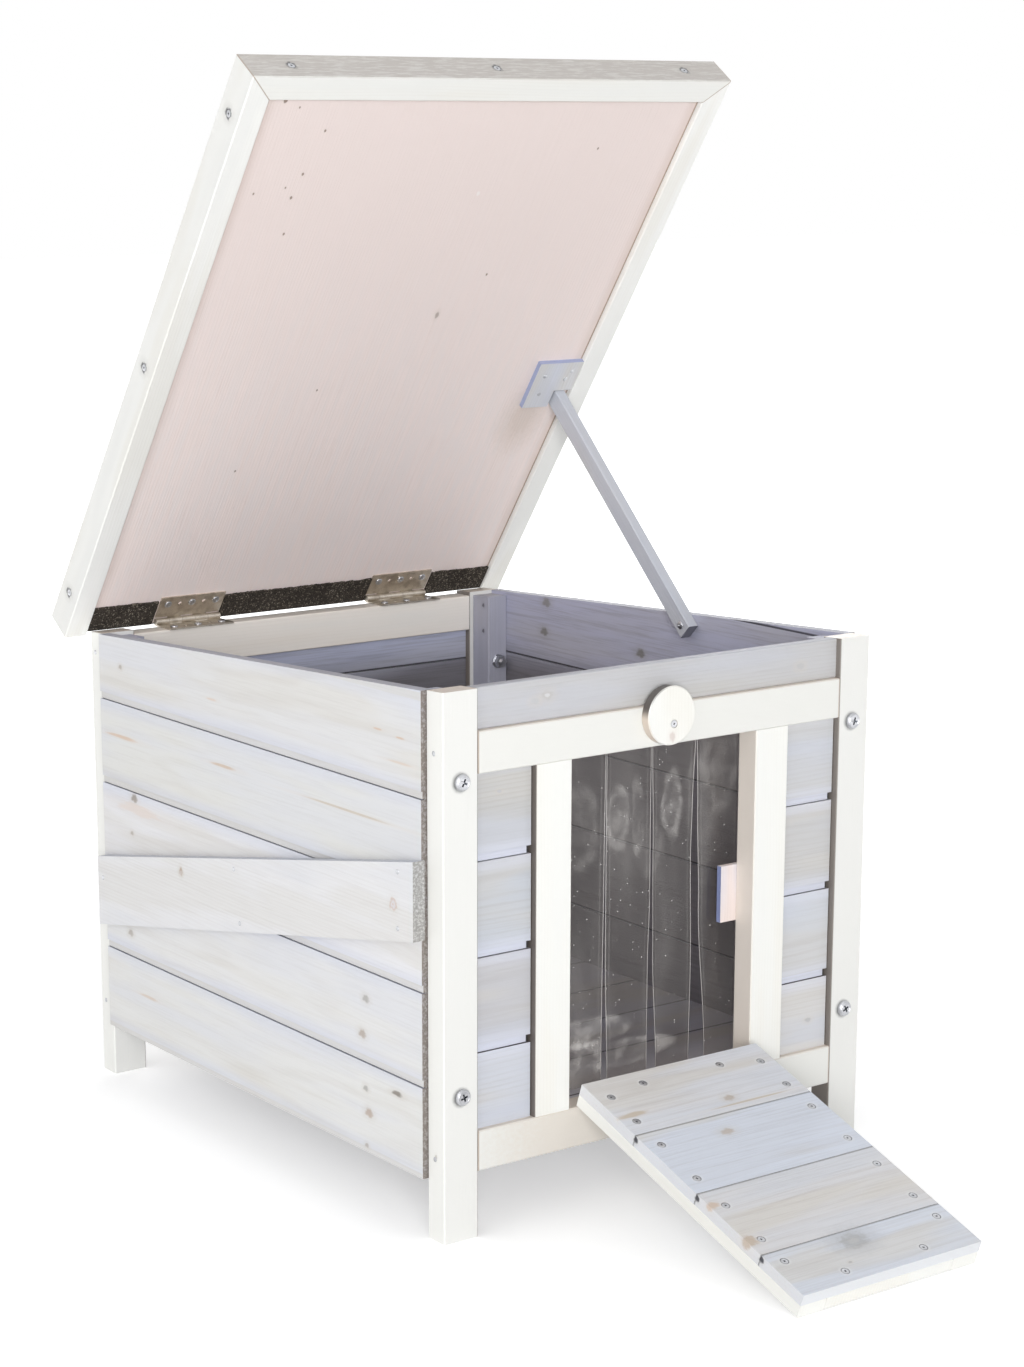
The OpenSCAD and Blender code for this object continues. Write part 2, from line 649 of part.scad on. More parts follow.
// Floor, laid from the back and notched round the battens
module floor_boards() color(GREY) house() difference() {
    floor_d = house_d - 2 * (post_d + seat);
    translate([seat - wall_in, house_d - post_d - seat, floor_z]) rotate([90, 0, 90])
        linear_extrude(2 * (wall_in - seat)) rotate(90)
            boards(0, floor_d, board_pitch, board_pitch, floor_t, 0);
    both_sides() for (y = [0, house_d - post_d - batten_d - seat])
        translate([batten_x - seat, y, floor_z - over])
            cube([batten_w + 2, post_d + batten_d + seat, floor_t + 2 * over]);
}
module floor_bearer() color(GREY) stick_y(
    [batten_x, post_d + batten_d + seat, bearer_z],
    [wall_in, house_d - post_d - batten_d - seat, floor_z]
);
module floor_bearer_left() house() mirror([1, 0, 0]) floor_bearer();
module floor_bearer_right() house() floor_bearer();

// Nails, bolts, washers and nuts of the frame
module nails() color(ZINC) house() {
    both_sides() at_frame_nails() nail(frame_nail_l);
    at_sign_nails() nail(sign_t + board_t - 2);
    at_stop_nails() nail(stop_t + 12);
}
module corner_bolts() color(ZINC) house() both_sides() {
    at_front_bolts() bolt();
    at_back_bolts() bolt();
}
module corner_washers() color(ZINC) house() both_sides() {
    at_front_bolts() washer();
    at_back_bolts() washer();
}
module corner_nuts() color(ZINC) house() both_sides() {
    at_front_bolts() nut();
    at_back_bolts() nut();
}

// Strip curtain behind the doorway
module flap_strap(y, t, lo, hi, more) translate([flap_x0 - more, y, lo])
    cube([flap_w * flap_n + 2 * more, t, hi - lo]);
module flap_batten() color(GREY) house() difference() {
    flap_strap(post_d, flap_batten_t, flap_batten_z, flap_batten_z + flap_batten_h, batten_more);
    at_flap_screws() screw_hole(flap_screw_l);
}
module flap_header() color(CLEAR) house() difference() {
    flap_strap(flap_y - flap_t / 2, flap_t, flap_z + flap_t / 2 + seat,
        flap_batten_z + flap_batten_h, 0);
    at_flap_screws() screw_hole(flap_screw_l);
}
module flap_clamp() color(GREY) house() difference() {
    flap_strap(clamp_y, clamp_t, flap_batten_z, flap_batten_z + flap_batten_h, 0);
    at_flap_screws() screw_hole(flap_screw_l);
}
module flap_screws() color(ZINC) house() at_flap_screws() round_screw(flap_screw_l);
module flap_strip(i) color(CLEAR) house() translate([flap_x0 + i * flap_w, flap_y, flap_z]) {
    side = flap_gap / 2;
    rotate([90, 0, 0]) linear_extrude(flap_t, center = true) polygon([
        [side, 0], [flap_w - side, 0],
        [flap_w - side - flap_flare / 2, -flap_l], [side + flap_flare / 2, -flap_l]
    ]);
    translate([side, 0, 0]) rotate([0, 90, 0]) cylinder(r = flap_t / 2, h = flap_w - 2 * side);
}
module flap_strip_1() flap_strip(0);
module flap_strip_2() flap_strip(1);
module flap_strip_3() flap_strip(2);
module flap_strip_4() flap_strip(3);

// Turn button that holds the closed ramp
module turn_button() color(WHITE) house() at_button() difference() {
    rotate([0, 0, button_tilt]) translate([0, button_off, -button_t])
        rotate_extrude($fn = 96) polygon([
            [0, 0], [button_r - ease, 0], [button_r, ease],
            [button_r, button_t - ease], [button_r - ease, button_t], [0, button_t]
        ]);
    flat_screw(button_t + 10, grow = turn_gap);
}
module turn_button_screw() color(ZINC) house() at_button() flat_screw(button_t + 10);

// Stay, leaning back from its pivot on the right wall
module stay() color(BLUE) house() translate([stay_x, pivot_y, pivot_z])
    rotate([stay_lean, 0, 0]) difference() {
        stick_y([0, -stay_w / 2, -stay_w / 2], [stay_t, stay_l, stay_w / 2]);
        translate([-over, 0, 0]) rotate([0, 90, 0])
            cylinder(r = stay_screw_r + turn_gap, h = stay_t + 2 * over);
    }
module stay_screw() color(ZINC) house() at_pivot()
    round_screw(stay_t + board_t - 1, stay_screw_r);

// Hinges of the lid
module lid_hinge_rail_leaves() color(NICKEL) house() translate([0, axis_y, axis_z])
    at_lid_hinges() mirror([0, 0, 1]) lid_leaf(0);
module lid_hinge_pins() color(NICKEL) house() translate([0, axis_y, axis_z])
    at_lid_hinges() rotate([0, 90, 0]) cylinder(r = pin_r, h = hinge_l, center = true);
module lid_hinge_lid_leaves() color(NICKEL) on_lid() at_lid_hinges() lid_leaf(1);
module lid_hinge_screws() color(ZINC) on_lid() mirror([0, 0, 1]) at_leaf_screws()
    round_screw(hinge_screw_l);
module at_ramp_rail_screws() translate([0, ramp_axis_y, ramp_axis_z]) rotate([90, 0, 0])
    mirror([0, 0, 1]) at_ramp_leaf_screws() translate([0, 0, -ramp_axis_y - ramp_leaf_t])
        mirror([0, 0, 1]) children();
module hinge_screws() color(ZINC) house() {
    translate([0, axis_y, axis_z]) at_leaf_screws() round_screw(hinge_screw_l);
    at_ramp_rail_screws() round_screw(ramp_screw_l);
}

// Lid
module lid_panel() color(PLY) on_lid() difference() {
    translate([-ply_half, ply_front, hinge_stand])
        cube([2 * ply_half, ply_back - ply_front, ply_t]);
    mirror([0, 0, 1]) at_leaf_screws() screw_hole(hinge_screw_l);
    both_sides() at_side_strip_screws() screw_hole(strip_screw_l);
    at_front_strip_screws() screw_hole(strip_screw_l);
}
module felt_section() {
    top = hinge_stand + ply_t;
    translate([ply_front, top]) square([ply_back - ply_front, felt_t]);
    translate([ply_back, hinge_stand]) square([felt_t, ply_t]);
    translate([lid_back - felt_in, hinge_stand - felt_t]) square([felt_in - felt_t, felt_t]);
    for (z = [hinge_stand, top]) intersection() {
        translate([ply_back, z]) circle(r = felt_t);
        translate([ply_back, z == top ? top : hinge_stand - felt_t]) square(felt_t);
    }
}
module lid_felt() color(FELT) on_lid() difference() {
    translate([-ply_half, 0, 0]) rotate([90, 0, 90]) linear_extrude(2 * ply_half) felt_section();
    at_lid_hinges() translate([-hinge_l / 2 - seat, -hinge_reach - seat, 0])
        cube([hinge_l + 2 * seat, hinge_reach + lid_back + felt_t, hinge_stand]);
}
module lid_side_strip() color(WHITE) difference() {
    stick_y([strip_in, lid_front_y, strip_z], [strip_out, lid_back, strip_z + strip_h]);
    translate([strip_in, lid_front_y + strip_w, strip_z - over]) rotate([0, 0, -135])
        cube([2 * strip_w, 2 * strip_w, strip_h + 2 * over]);
    at_side_strip_screws() flat_screw(strip_screw_l, grow = bore_gap);
}
module lid_frame_left() on_lid() mirror([1, 0, 0]) lid_side_strip();
module lid_frame_right() on_lid() lid_side_strip();
module lid_frame_front() color(WHITE) on_lid() difference() {
    stick_x([-strip_out, lid_front_y, strip_z],
        [strip_out, lid_front_y + strip_w, strip_z + strip_h]);
    both_sides() translate([strip_in, lid_front_y + strip_w, strip_z - over])
        rotate([0, 0, -45]) cube([2 * strip_w, 2 * strip_w, strip_h + 2 * over]);
    at_front_strip_screws() flat_screw(strip_screw_l, grow = bore_gap);
}
module lid_screws() color(ZINC) on_lid() {
    both_sides() at_side_strip_screws() flat_screw(strip_screw_l);
    at_front_strip_screws() flat_screw(strip_screw_l);
}
module stay_bracket() color(BLUE) on_lid()
    translate([ply_half, lid_back - bracket_s, hinge_stand - bracket_t])
        linear_extrude(bracket_t) polygon([
            [-bracket_w, 0], [-notch_w, 0], [-notch_w, -notch_l], [0, -notch_l],
            [0, -bracket_l], [-bracket_w, -bracket_l]
        ]);

// Ramp
module ramp_planks() color(GREY) on_ramp() difference() {
    translate([-ramp_half, ramp_in, 0]) rotate([90, 0, 90]) mirror([1, 0])
        linear_extrude(2 * ramp_half)
            boards(ramp_z0, ramp_z1, plank_first, plank_pitch, plank_t, 0);
    at_plank_screws() flat_screw(plank_screw_l, grow = bore_gap);
}
module ramp_side_strips() color(WHITE) on_ramp() difference() {
    both_sides() stick_z([ramp_half - under_w, ramp_out, ramp_z0],
        [ramp_half, plank_out, ramp_z1]);
    at_plank_screws() flat_screw(plank_screw_l, grow = bore_gap);
}
module ramp_cross_strips() color(WHITE) on_ramp() difference() {
    for (z = [ramp_z0, ramp_z1 - under_w])
        stick_x([under_w + seat - ramp_half, ramp_out, z],
            [ramp_half - under_w - seat, plank_out, z + under_w]);
    at_plank_screws() flat_screw(plank_screw_l, grow = bore_gap);
    rotate([-90, 0, 0]) at_ramp_leaf_screws() translate([0, 0, ramp_out - ramp_leaf_t])
        mirror([0, 0, 1]) screw_hole(ramp_screw_l);
}
module ramp_screws() color(ZINC) on_ramp() {
    at_plank_screws() flat_screw(plank_screw_l);
    rotate([-90, 0, 0]) at_ramp_leaf_screws() translate([0, 0, ramp_out - ramp_leaf_t])
        mirror([0, 0, 1]) round_screw(ramp_screw_l);
}
module ramp_hinge_leaves() color(NICKEL) on_ramp() rotate([-90, 0, 0])
    at_ramp_hinges() ramp_leaf(1, ramp_out);
module ramp_hinge_rail_leaves() color(NICKEL) house()
    translate([0, ramp_axis_y, ramp_axis_z]) rotate([90, 0, 0]) mirror([0, 0, 1])
        at_ramp_hinges() ramp_leaf(0, -ramp_axis_y);
module ramp_hinge_pins() color(NICKEL) house() translate([0, ramp_axis_y, ramp_axis_z])
    at_ramp_hinges() rotate([0, 90, 0])
        cylinder(r = ramp_pin_r, h = ramp_hinge_l, center = true);

leg_front_left();
leg_front_right();
leg_back_left();
leg_back_right();
front_top_board();
front_top_rail();
front_bottom_rail();
door_stile_left();
door_stile_right();
front_boards_left();
front_boards_right();
side_boards_left();
side_boards_right();
back_top_rail();
back_bottom_rail();
back_boards();
batten_front_left();
batten_front_right();
batten_back_left();
batten_back_right();
floor_boards();
floor_bearer_left();
floor_bearer_right();
sign_board();
nails();
corner_bolts();
corner_washers();
corner_nuts();
door_stop();
flap_batten();
flap_header();
flap_clamp();
flap_screws();
flap_strip_1();
flap_strip_2();
flap_strip_3();
flap_strip_4();
turn_button();
turn_button_screw();
stay();
stay_screw();
lid_hinge_rail_leaves();
lid_hinge_pins();
lid_hinge_lid_leaves();
hinge_screws();
lid_hinge_screws();
lid_panel();
lid_felt();
lid_frame_left();
lid_frame_right();
lid_frame_front();
lid_screws();
stay_bracket();
ramp_planks();
ramp_side_strips();
ramp_cross_strips();
ramp_screws();
ramp_hinge_leaves();
ramp_hinge_rail_leaves();
ramp_hinge_pins();
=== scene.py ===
# Outdoor cat house of slatted timber, with a propped lid, a strip curtain and a hinged ramp.
# Pieces are drawn in millimetres, in the frames of part.scad, and placed in metres.
from math import cos, pi, radians, sin

import bmesh
import bpy
from mathutils import Matrix, Vector, noise


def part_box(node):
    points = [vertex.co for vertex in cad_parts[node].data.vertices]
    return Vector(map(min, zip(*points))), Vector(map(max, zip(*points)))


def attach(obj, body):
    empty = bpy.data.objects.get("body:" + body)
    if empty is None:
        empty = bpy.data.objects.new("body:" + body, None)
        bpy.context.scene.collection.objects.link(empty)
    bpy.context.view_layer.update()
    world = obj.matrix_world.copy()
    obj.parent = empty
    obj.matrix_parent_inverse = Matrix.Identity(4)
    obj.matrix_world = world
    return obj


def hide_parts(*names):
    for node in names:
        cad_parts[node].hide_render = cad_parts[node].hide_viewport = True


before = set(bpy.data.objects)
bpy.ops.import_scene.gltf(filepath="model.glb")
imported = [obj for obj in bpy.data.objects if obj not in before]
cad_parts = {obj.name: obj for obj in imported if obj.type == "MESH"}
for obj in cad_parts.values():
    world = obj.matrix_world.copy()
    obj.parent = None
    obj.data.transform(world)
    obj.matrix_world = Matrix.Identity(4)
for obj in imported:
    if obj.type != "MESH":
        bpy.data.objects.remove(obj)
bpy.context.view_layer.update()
scene = bpy.context.scene

# Frames of part.scad: the house, and the lid, the ramp and the stay on what they turn on
hinges = {
    "lid": {"at": (0, 506.3, 378.025), "turn": radians(-55.0726)},
    "ramp": {"at": (0, -2.35, 80.8), "turn": radians(108.768)},
    "stay": {"at": (183.7, 206, 384.981), "turn": radians(44.518)},
}
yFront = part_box("leg_front_left")[0].y
places = {"house": Matrix.Translation((0, yFront, 0)) @ Matrix.Scale(0.001, 4)}
for hingeName, hinge in hinges.items():
    places[hingeName] = (
        places["house"] @ Matrix.Translation(hinge["at"]) @ Matrix.Rotation(hinge["turn"], 4, "X")
    )


def srgb(text):
    parts = [int(text[i : i + 2], 16) / 255 for i in (1, 3, 5)]
    return [p / 12.92 if p <= 0.04045 else ((p + 0.055) / 1.055) ** 2.4 for p in parts] + [1]


# The nodes in common use: their kind, the sockets that plain values go to, and their settings
common = {
    "mix": ("ShaderNodeMix", (0, 6, 7), {"data_type": "RGBA", "clamp_factor": True}),
    "spread": ("ShaderNodeMapRange", ("Value", "From Min", "From Max", "To Min", "To Max"),
               {"interpolation_type": "SMOOTHSTEP"}),
    "grain": ("ShaderNodeTexNoise", ("Vector", "Scale", "Detail", "Roughness"), {}),
}
for operation in ("ADD", "SUBTRACT", "MULTIPLY", "DIVIDE", "FLOOR", "SQRT", "SINE", "ABSOLUTE",
                  "POWER", "MINIMUM", "MAXIMUM"):
    common[operation] = ("ShaderNodeMath", (0, 1), {"operation": operation})
for word, operation in (("moved", "ADD"), ("away", "SUBTRACT"), ("scaled", "MULTIPLY"),
                        ("length", "LENGTH"), ("distance", "DISTANCE"), ("dot", "DOT_PRODUCT")):
    common[word] = ("ShaderNodeVectorMath", (0, 1), {"operation": operation})


# The function that adds a node to a tree: a common one takes its values in order, any other one a
# dictionary of its sockets. A node given as a value stands for its first output, a text for its
# colour.
def adder(tree):
    def add(kind, *values, **settings):
        inputs = values[0] if values and isinstance(values[0], dict) else {}
        if kind in common:
            kind, sockets, usual = common[kind]
            inputs = dict(zip(sockets, values))
            settings = {**usual, **settings}
        node = tree.nodes.new(kind)
        for key, value in settings.items():
            setattr(node, key, value)
        for key, value in inputs.items():
            if isinstance(value, bpy.types.Node):
                value = next(socket for socket in value.outputs if socket.enabled)
            elif isinstance(value, str):
                value = srgb(value)
            if isinstance(value, bpy.types.NodeSocket):
                tree.links.new(value, node.inputs[key])
            else:
                node.inputs[key].default_value = value
        return node

    return add


def newMaterial(name):
    material = bpy.data.materials.new(name)
    material.use_nodes = True
    material.node_tree.nodes.clear()
    return material, adder(material.node_tree)


def close(add, shader):
    add("ShaderNodeOutputMaterial", {"Surface": shader})


# Millimetres in the frame of the house, the lid, the ramp or the stay
def millimetres(add, place):
    objectPlace = add("ShaderNodeTexCoord").outputs["Object"]
    turn, at = 0, Vector((0, yFront, 0))
    if place != "house":
        turn = hinges[place]["turn"]
        at = places[place].to_translation()
    return add("ShaderNodeMapping",
               {"Vector": objectPlace, "Location": at, "Rotation": (turn, 0, 0),
                "Scale": (0.001,) * 3}, vector_type="TEXTURE")


# Softwood: how far the year rings lie apart, how far the pith is behind the face at least and how
# much further it may be, how much the rings wave, and how each board's grain is shifted.
# Real fibres are finer; these are as coarse as the picture needs.
softwood = {"ringWidth": 2.9, "pithNear": 14, "pithMore": 30, "wave": 9, "shift": 900,
            "slowAlong": 0.0045, "slowAcross": 0.03, "fineAlong": 0.018, "fineAcross": 0.6}


# Softwood under a wash or paint: year rings round an off-centre pith, fine fibres along the board
# and a slow change of tone, each board with its own pith and tone
def makeTimberGroup():
    tree = bpy.data.node_groups.new("softwood", "ShaderNodeTree")
    for name in ("Along", "Across", "Through", "Joint", "Pitch", "Seed"):
        tree.interface.new_socket(name, in_out="INPUT", socket_type="NodeSocketFloat")
    for name in ("Rings", "Fibres", "Tone", "Place"):
        tree.interface.new_socket(name, in_out="OUTPUT", socket_type="NodeSocketFloat")
    add = adder(tree)
    given = add("NodeGroupInput").outputs
    joint, pitch = given["Joint"], given["Pitch"]
    fromJoint = add("SUBTRACT", given["Across"], joint)
    board = add("FLOOR", add("DIVIDE", fromJoint, pitch))
    key = add("ADD", add("MULTIPLY", board, 3.7), given["Seed"])
    own = add("ShaderNodeTexWhiteNoise", {"W": key}, noise_dimensions="1D").outputs["Color"]
    own = add("ShaderNodeSeparateColor", {"Color": own}).outputs
    shift = add("MULTIPLY", own[0], softwood["shift"])
    shifted = add("ADD", given["Along"], shift)
    slow, fine = (add("ShaderNodeCombineXYZ", {
        "X": add("MULTIPLY", shifted, softwood[pace + "Along"]),
        "Y": add("MULTIPLY", given["Across"], softwood[pace + "Across"]),
        "Z": add("MULTIPLY", given["Through"], softwood[pace + "Across"]),
    }) for pace in ("slow", "fine"))
    warp = add("SUBTRACT", add("grain", slow, 0.8, 2.0), 0.5)
    warp = add("MULTIPLY", warp, softwood["wave"])
    middle = add("ADD", board, add("ADD", own[1], 0.05))
    middle = add("ADD", joint, add("MULTIPLY", middle, pitch))
    across = add("SUBTRACT", given["Across"], middle)
    behind = add("MULTIPLY", own[2], softwood["pithMore"])
    behind = add("ADD", behind, softwood["pithNear"])
    through = add("ADD", given["Through"], behind)
    squares = [add("MULTIPLY", side, side) for side in (across, through)]
    pith = add("SQRT", add("ADD", *squares))
    turns = add("MULTIPLY", add("ADD", pith, warp), 2 * pi / softwood["ringWidth"])
    late = add("spread", add("SINE", turns), 0.1, 1.0)
    fibres = add("spread", add("grain", fine, 1.0, 3.0, 0.6), 0.42, 0.72)
    tone = add("grain", slow, 0.9, 2.0)
    place = add("SUBTRACT", fromJoint, add("MULTIPLY", board, pitch))
    add("NodeGroupOutput", {"Rings": late, "Fibres": fibres, "Tone": tone, "Place": place})
    return tree


timberGroup = makeTimberGroup()

# Which coordinate runs along, across and through the board for each lay of the boards
lays = {"x": (0, 2, 1), "y": (1, 2, 0), "z": (2, 0, 1), "xFlat": (0, 1, 2), "yFlat": (1, 0, 2)}
# The ways in which a side faces
sides = {"front": (0, -1, 0), "back": (0, 1, 0), "left": (-1, 0, 0), "right": (1, 0, 0),
         "top": (0, 0, 1), "under": (0, 0, -1)}


# A knot, or a patch of painted shade: a place in millimetres, its radius, how far it stretches
# along the grain, how ragged its edge is, the colours of its heart and ring, and how strong the
# heart (depth) and the halo are
def addKnotsAndShade(add, vector, colour, knotsAndShade, lay):
    for knot in knotsAndShade:
        radius = knot["r"]
        stretch = [1, 1, 1]
        stretch[lays[lay][0]] = 1 / knot.get("stretch", 1.5)
        flat = add("scaled", add("away", vector, knot["at"]), stretch)
        wobble = add("grain", flat, 0.35, 2.0)
        length = add("length", flat)
        ragged = radius * knot.get("ragged", 0.9)
        ragged = add("MULTIPLY", add("SUBTRACT", wobble, 0.5), ragged)
        reach = add("ADD", length, ragged)
        halo = add("spread", reach, radius * 2.1, radius * 0.8, 0, knot["halo"])
        core = add("spread", reach, radius, radius * 0.45, 0, knot["depth"])
        colour = add("mix", halo, colour, knot["ring"])
        colour = add("mix", core, colour, knot["heart"])
    return colour


# Boards of one plain colour each: where each starts across the wall, and its colour
def boardColours(add, across, boards, span):
    low, high = span
    part = add("DIVIDE", add("SUBTRACT", across, low), high - low)
    ramp = add("ShaderNodeValToRGB", {"Fac": part})
    ramp.color_ramp.interpolation = "CONSTANT"
    stops = ramp.color_ramp.elements
    for index, (start, shade) in enumerate(boards):
        at = max(0, (start - low) / (high - low))
        stop = stops[index] if index < 2 else stops.new(at)
        stop.position, stop.color = at, srgb(shade)
    return ramp


# The wash or paint on the wood: cool and warm patches, the rings and fibres just showing through,
# and each board's paler, set-back lip
def coated(add, look, grown, colour):
    cool = add("MULTIPLY", add("spread", grown["Tone"], 0.5, 0.36), look["patches"])
    warm = add("MULTIPLY", add("spread", grown["Tone"], 0.5, 0.62), look["patches"])
    colour = add("mix", cool, colour, look["cool"])
    colour = add("mix", warm, colour, look["warm"])
    if "lip" in look:
        near = add("ADD", add("spread", grown["Place"], 16, 7),
                   add("spread", grown["Place"], look["pitch"] - 12, look["pitch"] - 2),
                   use_clamp=True)
        colour = add("mix", add("MULTIPLY", near, 0.4), colour, "#D9DDEC")
        lip = add("spread", grown["Place"], 6.4, 5.4)
        colour = add("mix", add("MULTIPLY", lip, 0.6), colour, look["lip"])
    late = add("MULTIPLY", grown["Rings"], add("spread", grown["Tone"], 0.3, 0.6))
    late = add("MULTIPLY", late, look["showing"])
    colour = add("mix", late, colour, look["late"], blend_type="MULTIPLY")
    fibres = add("MULTIPLY", grown["Fibres"], look["fibres"])
    return add("mix", fibres, colour, "#C4BDB6", blend_type="MULTIPLY")


# The cabin inside: its middle, where down the wall the painted shade begins and where it is full,
# and the dark joint
cabin = {"middle": (0, 251, 210), "shadeStart": 362, "shadeFull": 325, "joint": (2.2, 1.2)}


# Faces that look into the cabin: their own colours near the top, then painted shade that deepens
# down the walls to a dark grey, and dark joints
def insideColour(add, look, vector, normal, grown, height, colour):
    out = add("away", vector, cabin["middle"])
    inner = add("spread", add("dot", normal, out), 20, -20)
    shade = add("mix", add("spread", grown["Tone"], 0.35, 0.65), *look["inside"])
    uneven = add("ADD", height, add("MULTIPLY", grown["Tone"], 40))
    low = add("spread", uneven, cabin["shadeStart"], cabin["shadeFull"], 0, 0.9)
    lowShade = add("mix", grown["Tone"], "#75706F", "#6C6A70")
    shade = add("mix", low, shade, lowShade)
    joint = add("spread", grown["Place"], *cabin["joint"], 0, 0.85)
    shade = add("mix", joint, shade, "#2C2A2C")
    fibres = add("MULTIPLY", grown["Fibres"], 0.35)
    shade = add("mix", fibres, shade, "#B9B4AE", blend_type="MULTIPLY")
    return add("mix", inner, colour, shade)


# Screw heads under the wash: a pale ring of pressed fibres, and a thin dark ring of painted shade
# in the gap round each head
def ringedHeads(add, along, across, heads, colour):
    nearest = None
    aside = add("ABSOLUTE", along)
    flat = add("ShaderNodeCombineXYZ", {"X": aside, "Y": across})
    for head in heads:
        away = add("distance", flat, (*head, 0))
        nearest = away if nearest is None else add("MINIMUM", nearest, away)
    colour = add("mix", add("spread", nearest, 6.0, 3.6, 0, 0.3), colour, "#EBECEE")
    return add("mix", add("spread", nearest, 3.5, 3.1, 0, 0.7), colour, "#55575C")


# What the parts of a look do, in the order in which they are drawn: boards and span give each
# board its colour, lip its pale set-back edge; mottle and flecks are the clouds and pores of
# plywood, inside the colours towards the cabin with painted shade that deepens down the walls,
# tints the faces that point one way and bands the strips beside an edge, some of them painted
# light and some painted shade; notch is painted shade, seam and mitre are fine dark lines,
# heads the rings round screws with a thin ring of painted shade, and knotsAndShade holds knot
# marks, streaks and patches of painted shade.
def timber(name, look):
    material, add = newMaterial(name)
    place = look.get("place", "house")
    vector = millimetres(add, place)
    parts = add("ShaderNodeSeparateXYZ", {"Vector": vector}).outputs
    along, across, through = (parts[i] for i in lays[look["lay"]])
    grown = add("ShaderNodeGroup", {
        "Along": along, "Across": across, "Through": through, "Joint": look.get("joint", -5000),
        "Pitch": look.get("pitch", 10000), "Seed": look.get("seed", 1)},
        node_tree=timberGroup).outputs
    if "boards" in look:
        colour = boardColours(add, across, look["boards"], look["span"])
    else:
        colour = look["colour"]
    colour = coated(add, look, grown, colour)
    pull = [1, 1, 1]
    pull[lays[look["lay"]][0]] = 0.12
    drawn = add("scaled", vector, pull)
    if "mottle" in look:
        cloud = add("spread", add("grain", drawn, 0.16, 5.0, 0.7), 0.4, 0.62)
        colour = add("mix", cloud, colour, look["mottle"])
    if "flecks" in look:
        fleck = add("grain", add("scaled", vector, (0.8, 0.35, 0.8)), 0.9, 2.0, 0.7)
        fleck = add("spread", fleck, 0.72, 0.8, 0, look["flecks"])
        colour = add("mix", fleck, colour, "#A5958E")
    normal = add("ShaderNodeTexCoord").outputs["Normal"]
    if "inside" in look:
        colour = insideColour(add, look, vector, normal, grown, parts[2], colour)
    for to, shade, amount, *broken in look.get("tints", ()):
        to = (places[place].to_3x3() @ Vector(sides.get(to, to))).normalized()
        side = add("spread", add("dot", normal, to), 0.55, 0.85, 0, amount)
        if broken:
            worn = add("grain", drawn, 0.5, 4.0, 0.7)
            worn = add("spread", worn, 0.62, 0.45, 1 - broken[0], 1)
            side = add("MULTIPLY", side, worn)
        colour = add("mix", side, colour, shade)
    for axis, start, soft, amount, shade in look.get("bands", ()):
        edge = add("ABSOLUTE", parts[axis])
        edge = add("spread", edge, start, start + soft, 0, amount)
        colour = add("mix", edge, colour, shade)
    # Painted shade: near black in the open end of each joint's channel at the board ends
    if "notch" in look:
        low, high = look["notch"]
        deep = add("MULTIPLY", add("spread", parts[0], low - 0.3, low),
                   add("spread", parts[0], high + 0.3, high))
        deep = add("MULTIPLY", deep, add("spread", grown["Place"], 6.8, 6.2, 0, 0.95))
        deep = add("MULTIPLY", deep, add("spread", parts[1], 5.1, 5.5))
        colour = add("mix", deep, colour, "#24211F")
    if "seam" in look:
        seam = add("spread", grown["Place"], 2.0, 1.0, 0, look["seam"])
        colour = add("mix", seam, colour, "#2C2A2C")
    if "mitre" in look:
        inner, front = look["mitre"]
        out = add("SUBTRACT", add("ABSOLUTE", parts[0]), inner)
        out = add("ADD", out, add("SUBTRACT", parts[1], front))
        line = add("spread", add("ABSOLUTE", out), 0.8, 0.35, 0, 0.75)
        colour = add("mix", line, colour, "#A89584")
    if "heads" in look:
        colour = ringedHeads(add, along, across, look["heads"], colour)
    if "knotsAndShade" in look:
        colour = addKnotsAndShade(add, vector, colour, look["knotsAndShade"], look["lay"])
    coat = add("grain", vector, 0.5, 3.0, 0.6)
    rough = add("spread", coat, 0.3, 0.7, look["rough"] - 0.07, look["rough"] + 0.07)
    fibres = add("MULTIPLY", grown["Fibres"], 0.5)
    rings = add("MULTIPLY", grown["Rings"], 0.35)
    film = add("ADD", rings, add("MULTIPLY", coat, 0.3))
    bump = add("ShaderNodeBump", {
        "Height": add("ADD", fibres, film), "Strength": look["relief"], "Distance": 0.0004})
    close(add, add("ShaderNodeBsdfPrincipled", {
        "Base Color": colour, "Roughness": rough, "Normal": bump,
        "Specular IOR Level": look["gloss"]}))
    return material


# The two coats: how much the rings and fibres show, how strong the patches are, the colours of the
# patches and of the late wood, and how rough, raised and glossy the coat is
paint = {"colour": "#F0F0EC", "showing": 0.035, "fibres": 0.01575, "patches": 0.35,
         "cool": "#EDEEEC", "warm": "#EDEAE1", "late": "#BBAA96", "rough": 0.42, "relief": 0.16,
         "gloss": 0.4}
wash = {"showing": 0.07, "fibres": 0.09, "patches": 0.45, "cool": "#D5DAEA", "warm": "#DAD5CB",
        "late": "#BBAA96", "rough": 0.58, "relief": 0.3, "gloss": 0.28}
sawnEnd = ("top", "#DCCFC3", 0.8)
# The colours of the faces inside the cabin, kept dark as painted shade
shadedInside = ["#BEC0D6", "#BCBCC8"]
# Boards: where each starts across the wall or the ramp, and its colour
sideBoards = [(40, "#EBEBEA"), (113.5, "#EBEBEB"), (184, "#EEEEF1"), (254.5, "#E7E7E5"),
              (325, "#E7E7E8")]
frontLeft = [(80, "#CBCED6"), (137, "#C1C1C5"), (207.5, "#C3C7CE"), (278, "#C1C1C1")]
frontRight = [(80, "#D5D4D4"), (137, "#CCCFD5"), (207.5, "#C8C8C9"), (278, "#CACBCE")]
rampBoards = [(0, "#DFE1E7"), (66.5, "#DCE2EE"), (139, "#DEDEE1"), (211.5, "#DBE0EA")]
# What the side boards, the tongued ones and the ramp's planks cover, and the lid's half width
cover, rampCover, lidHalf = 70.5, 72.5, 221
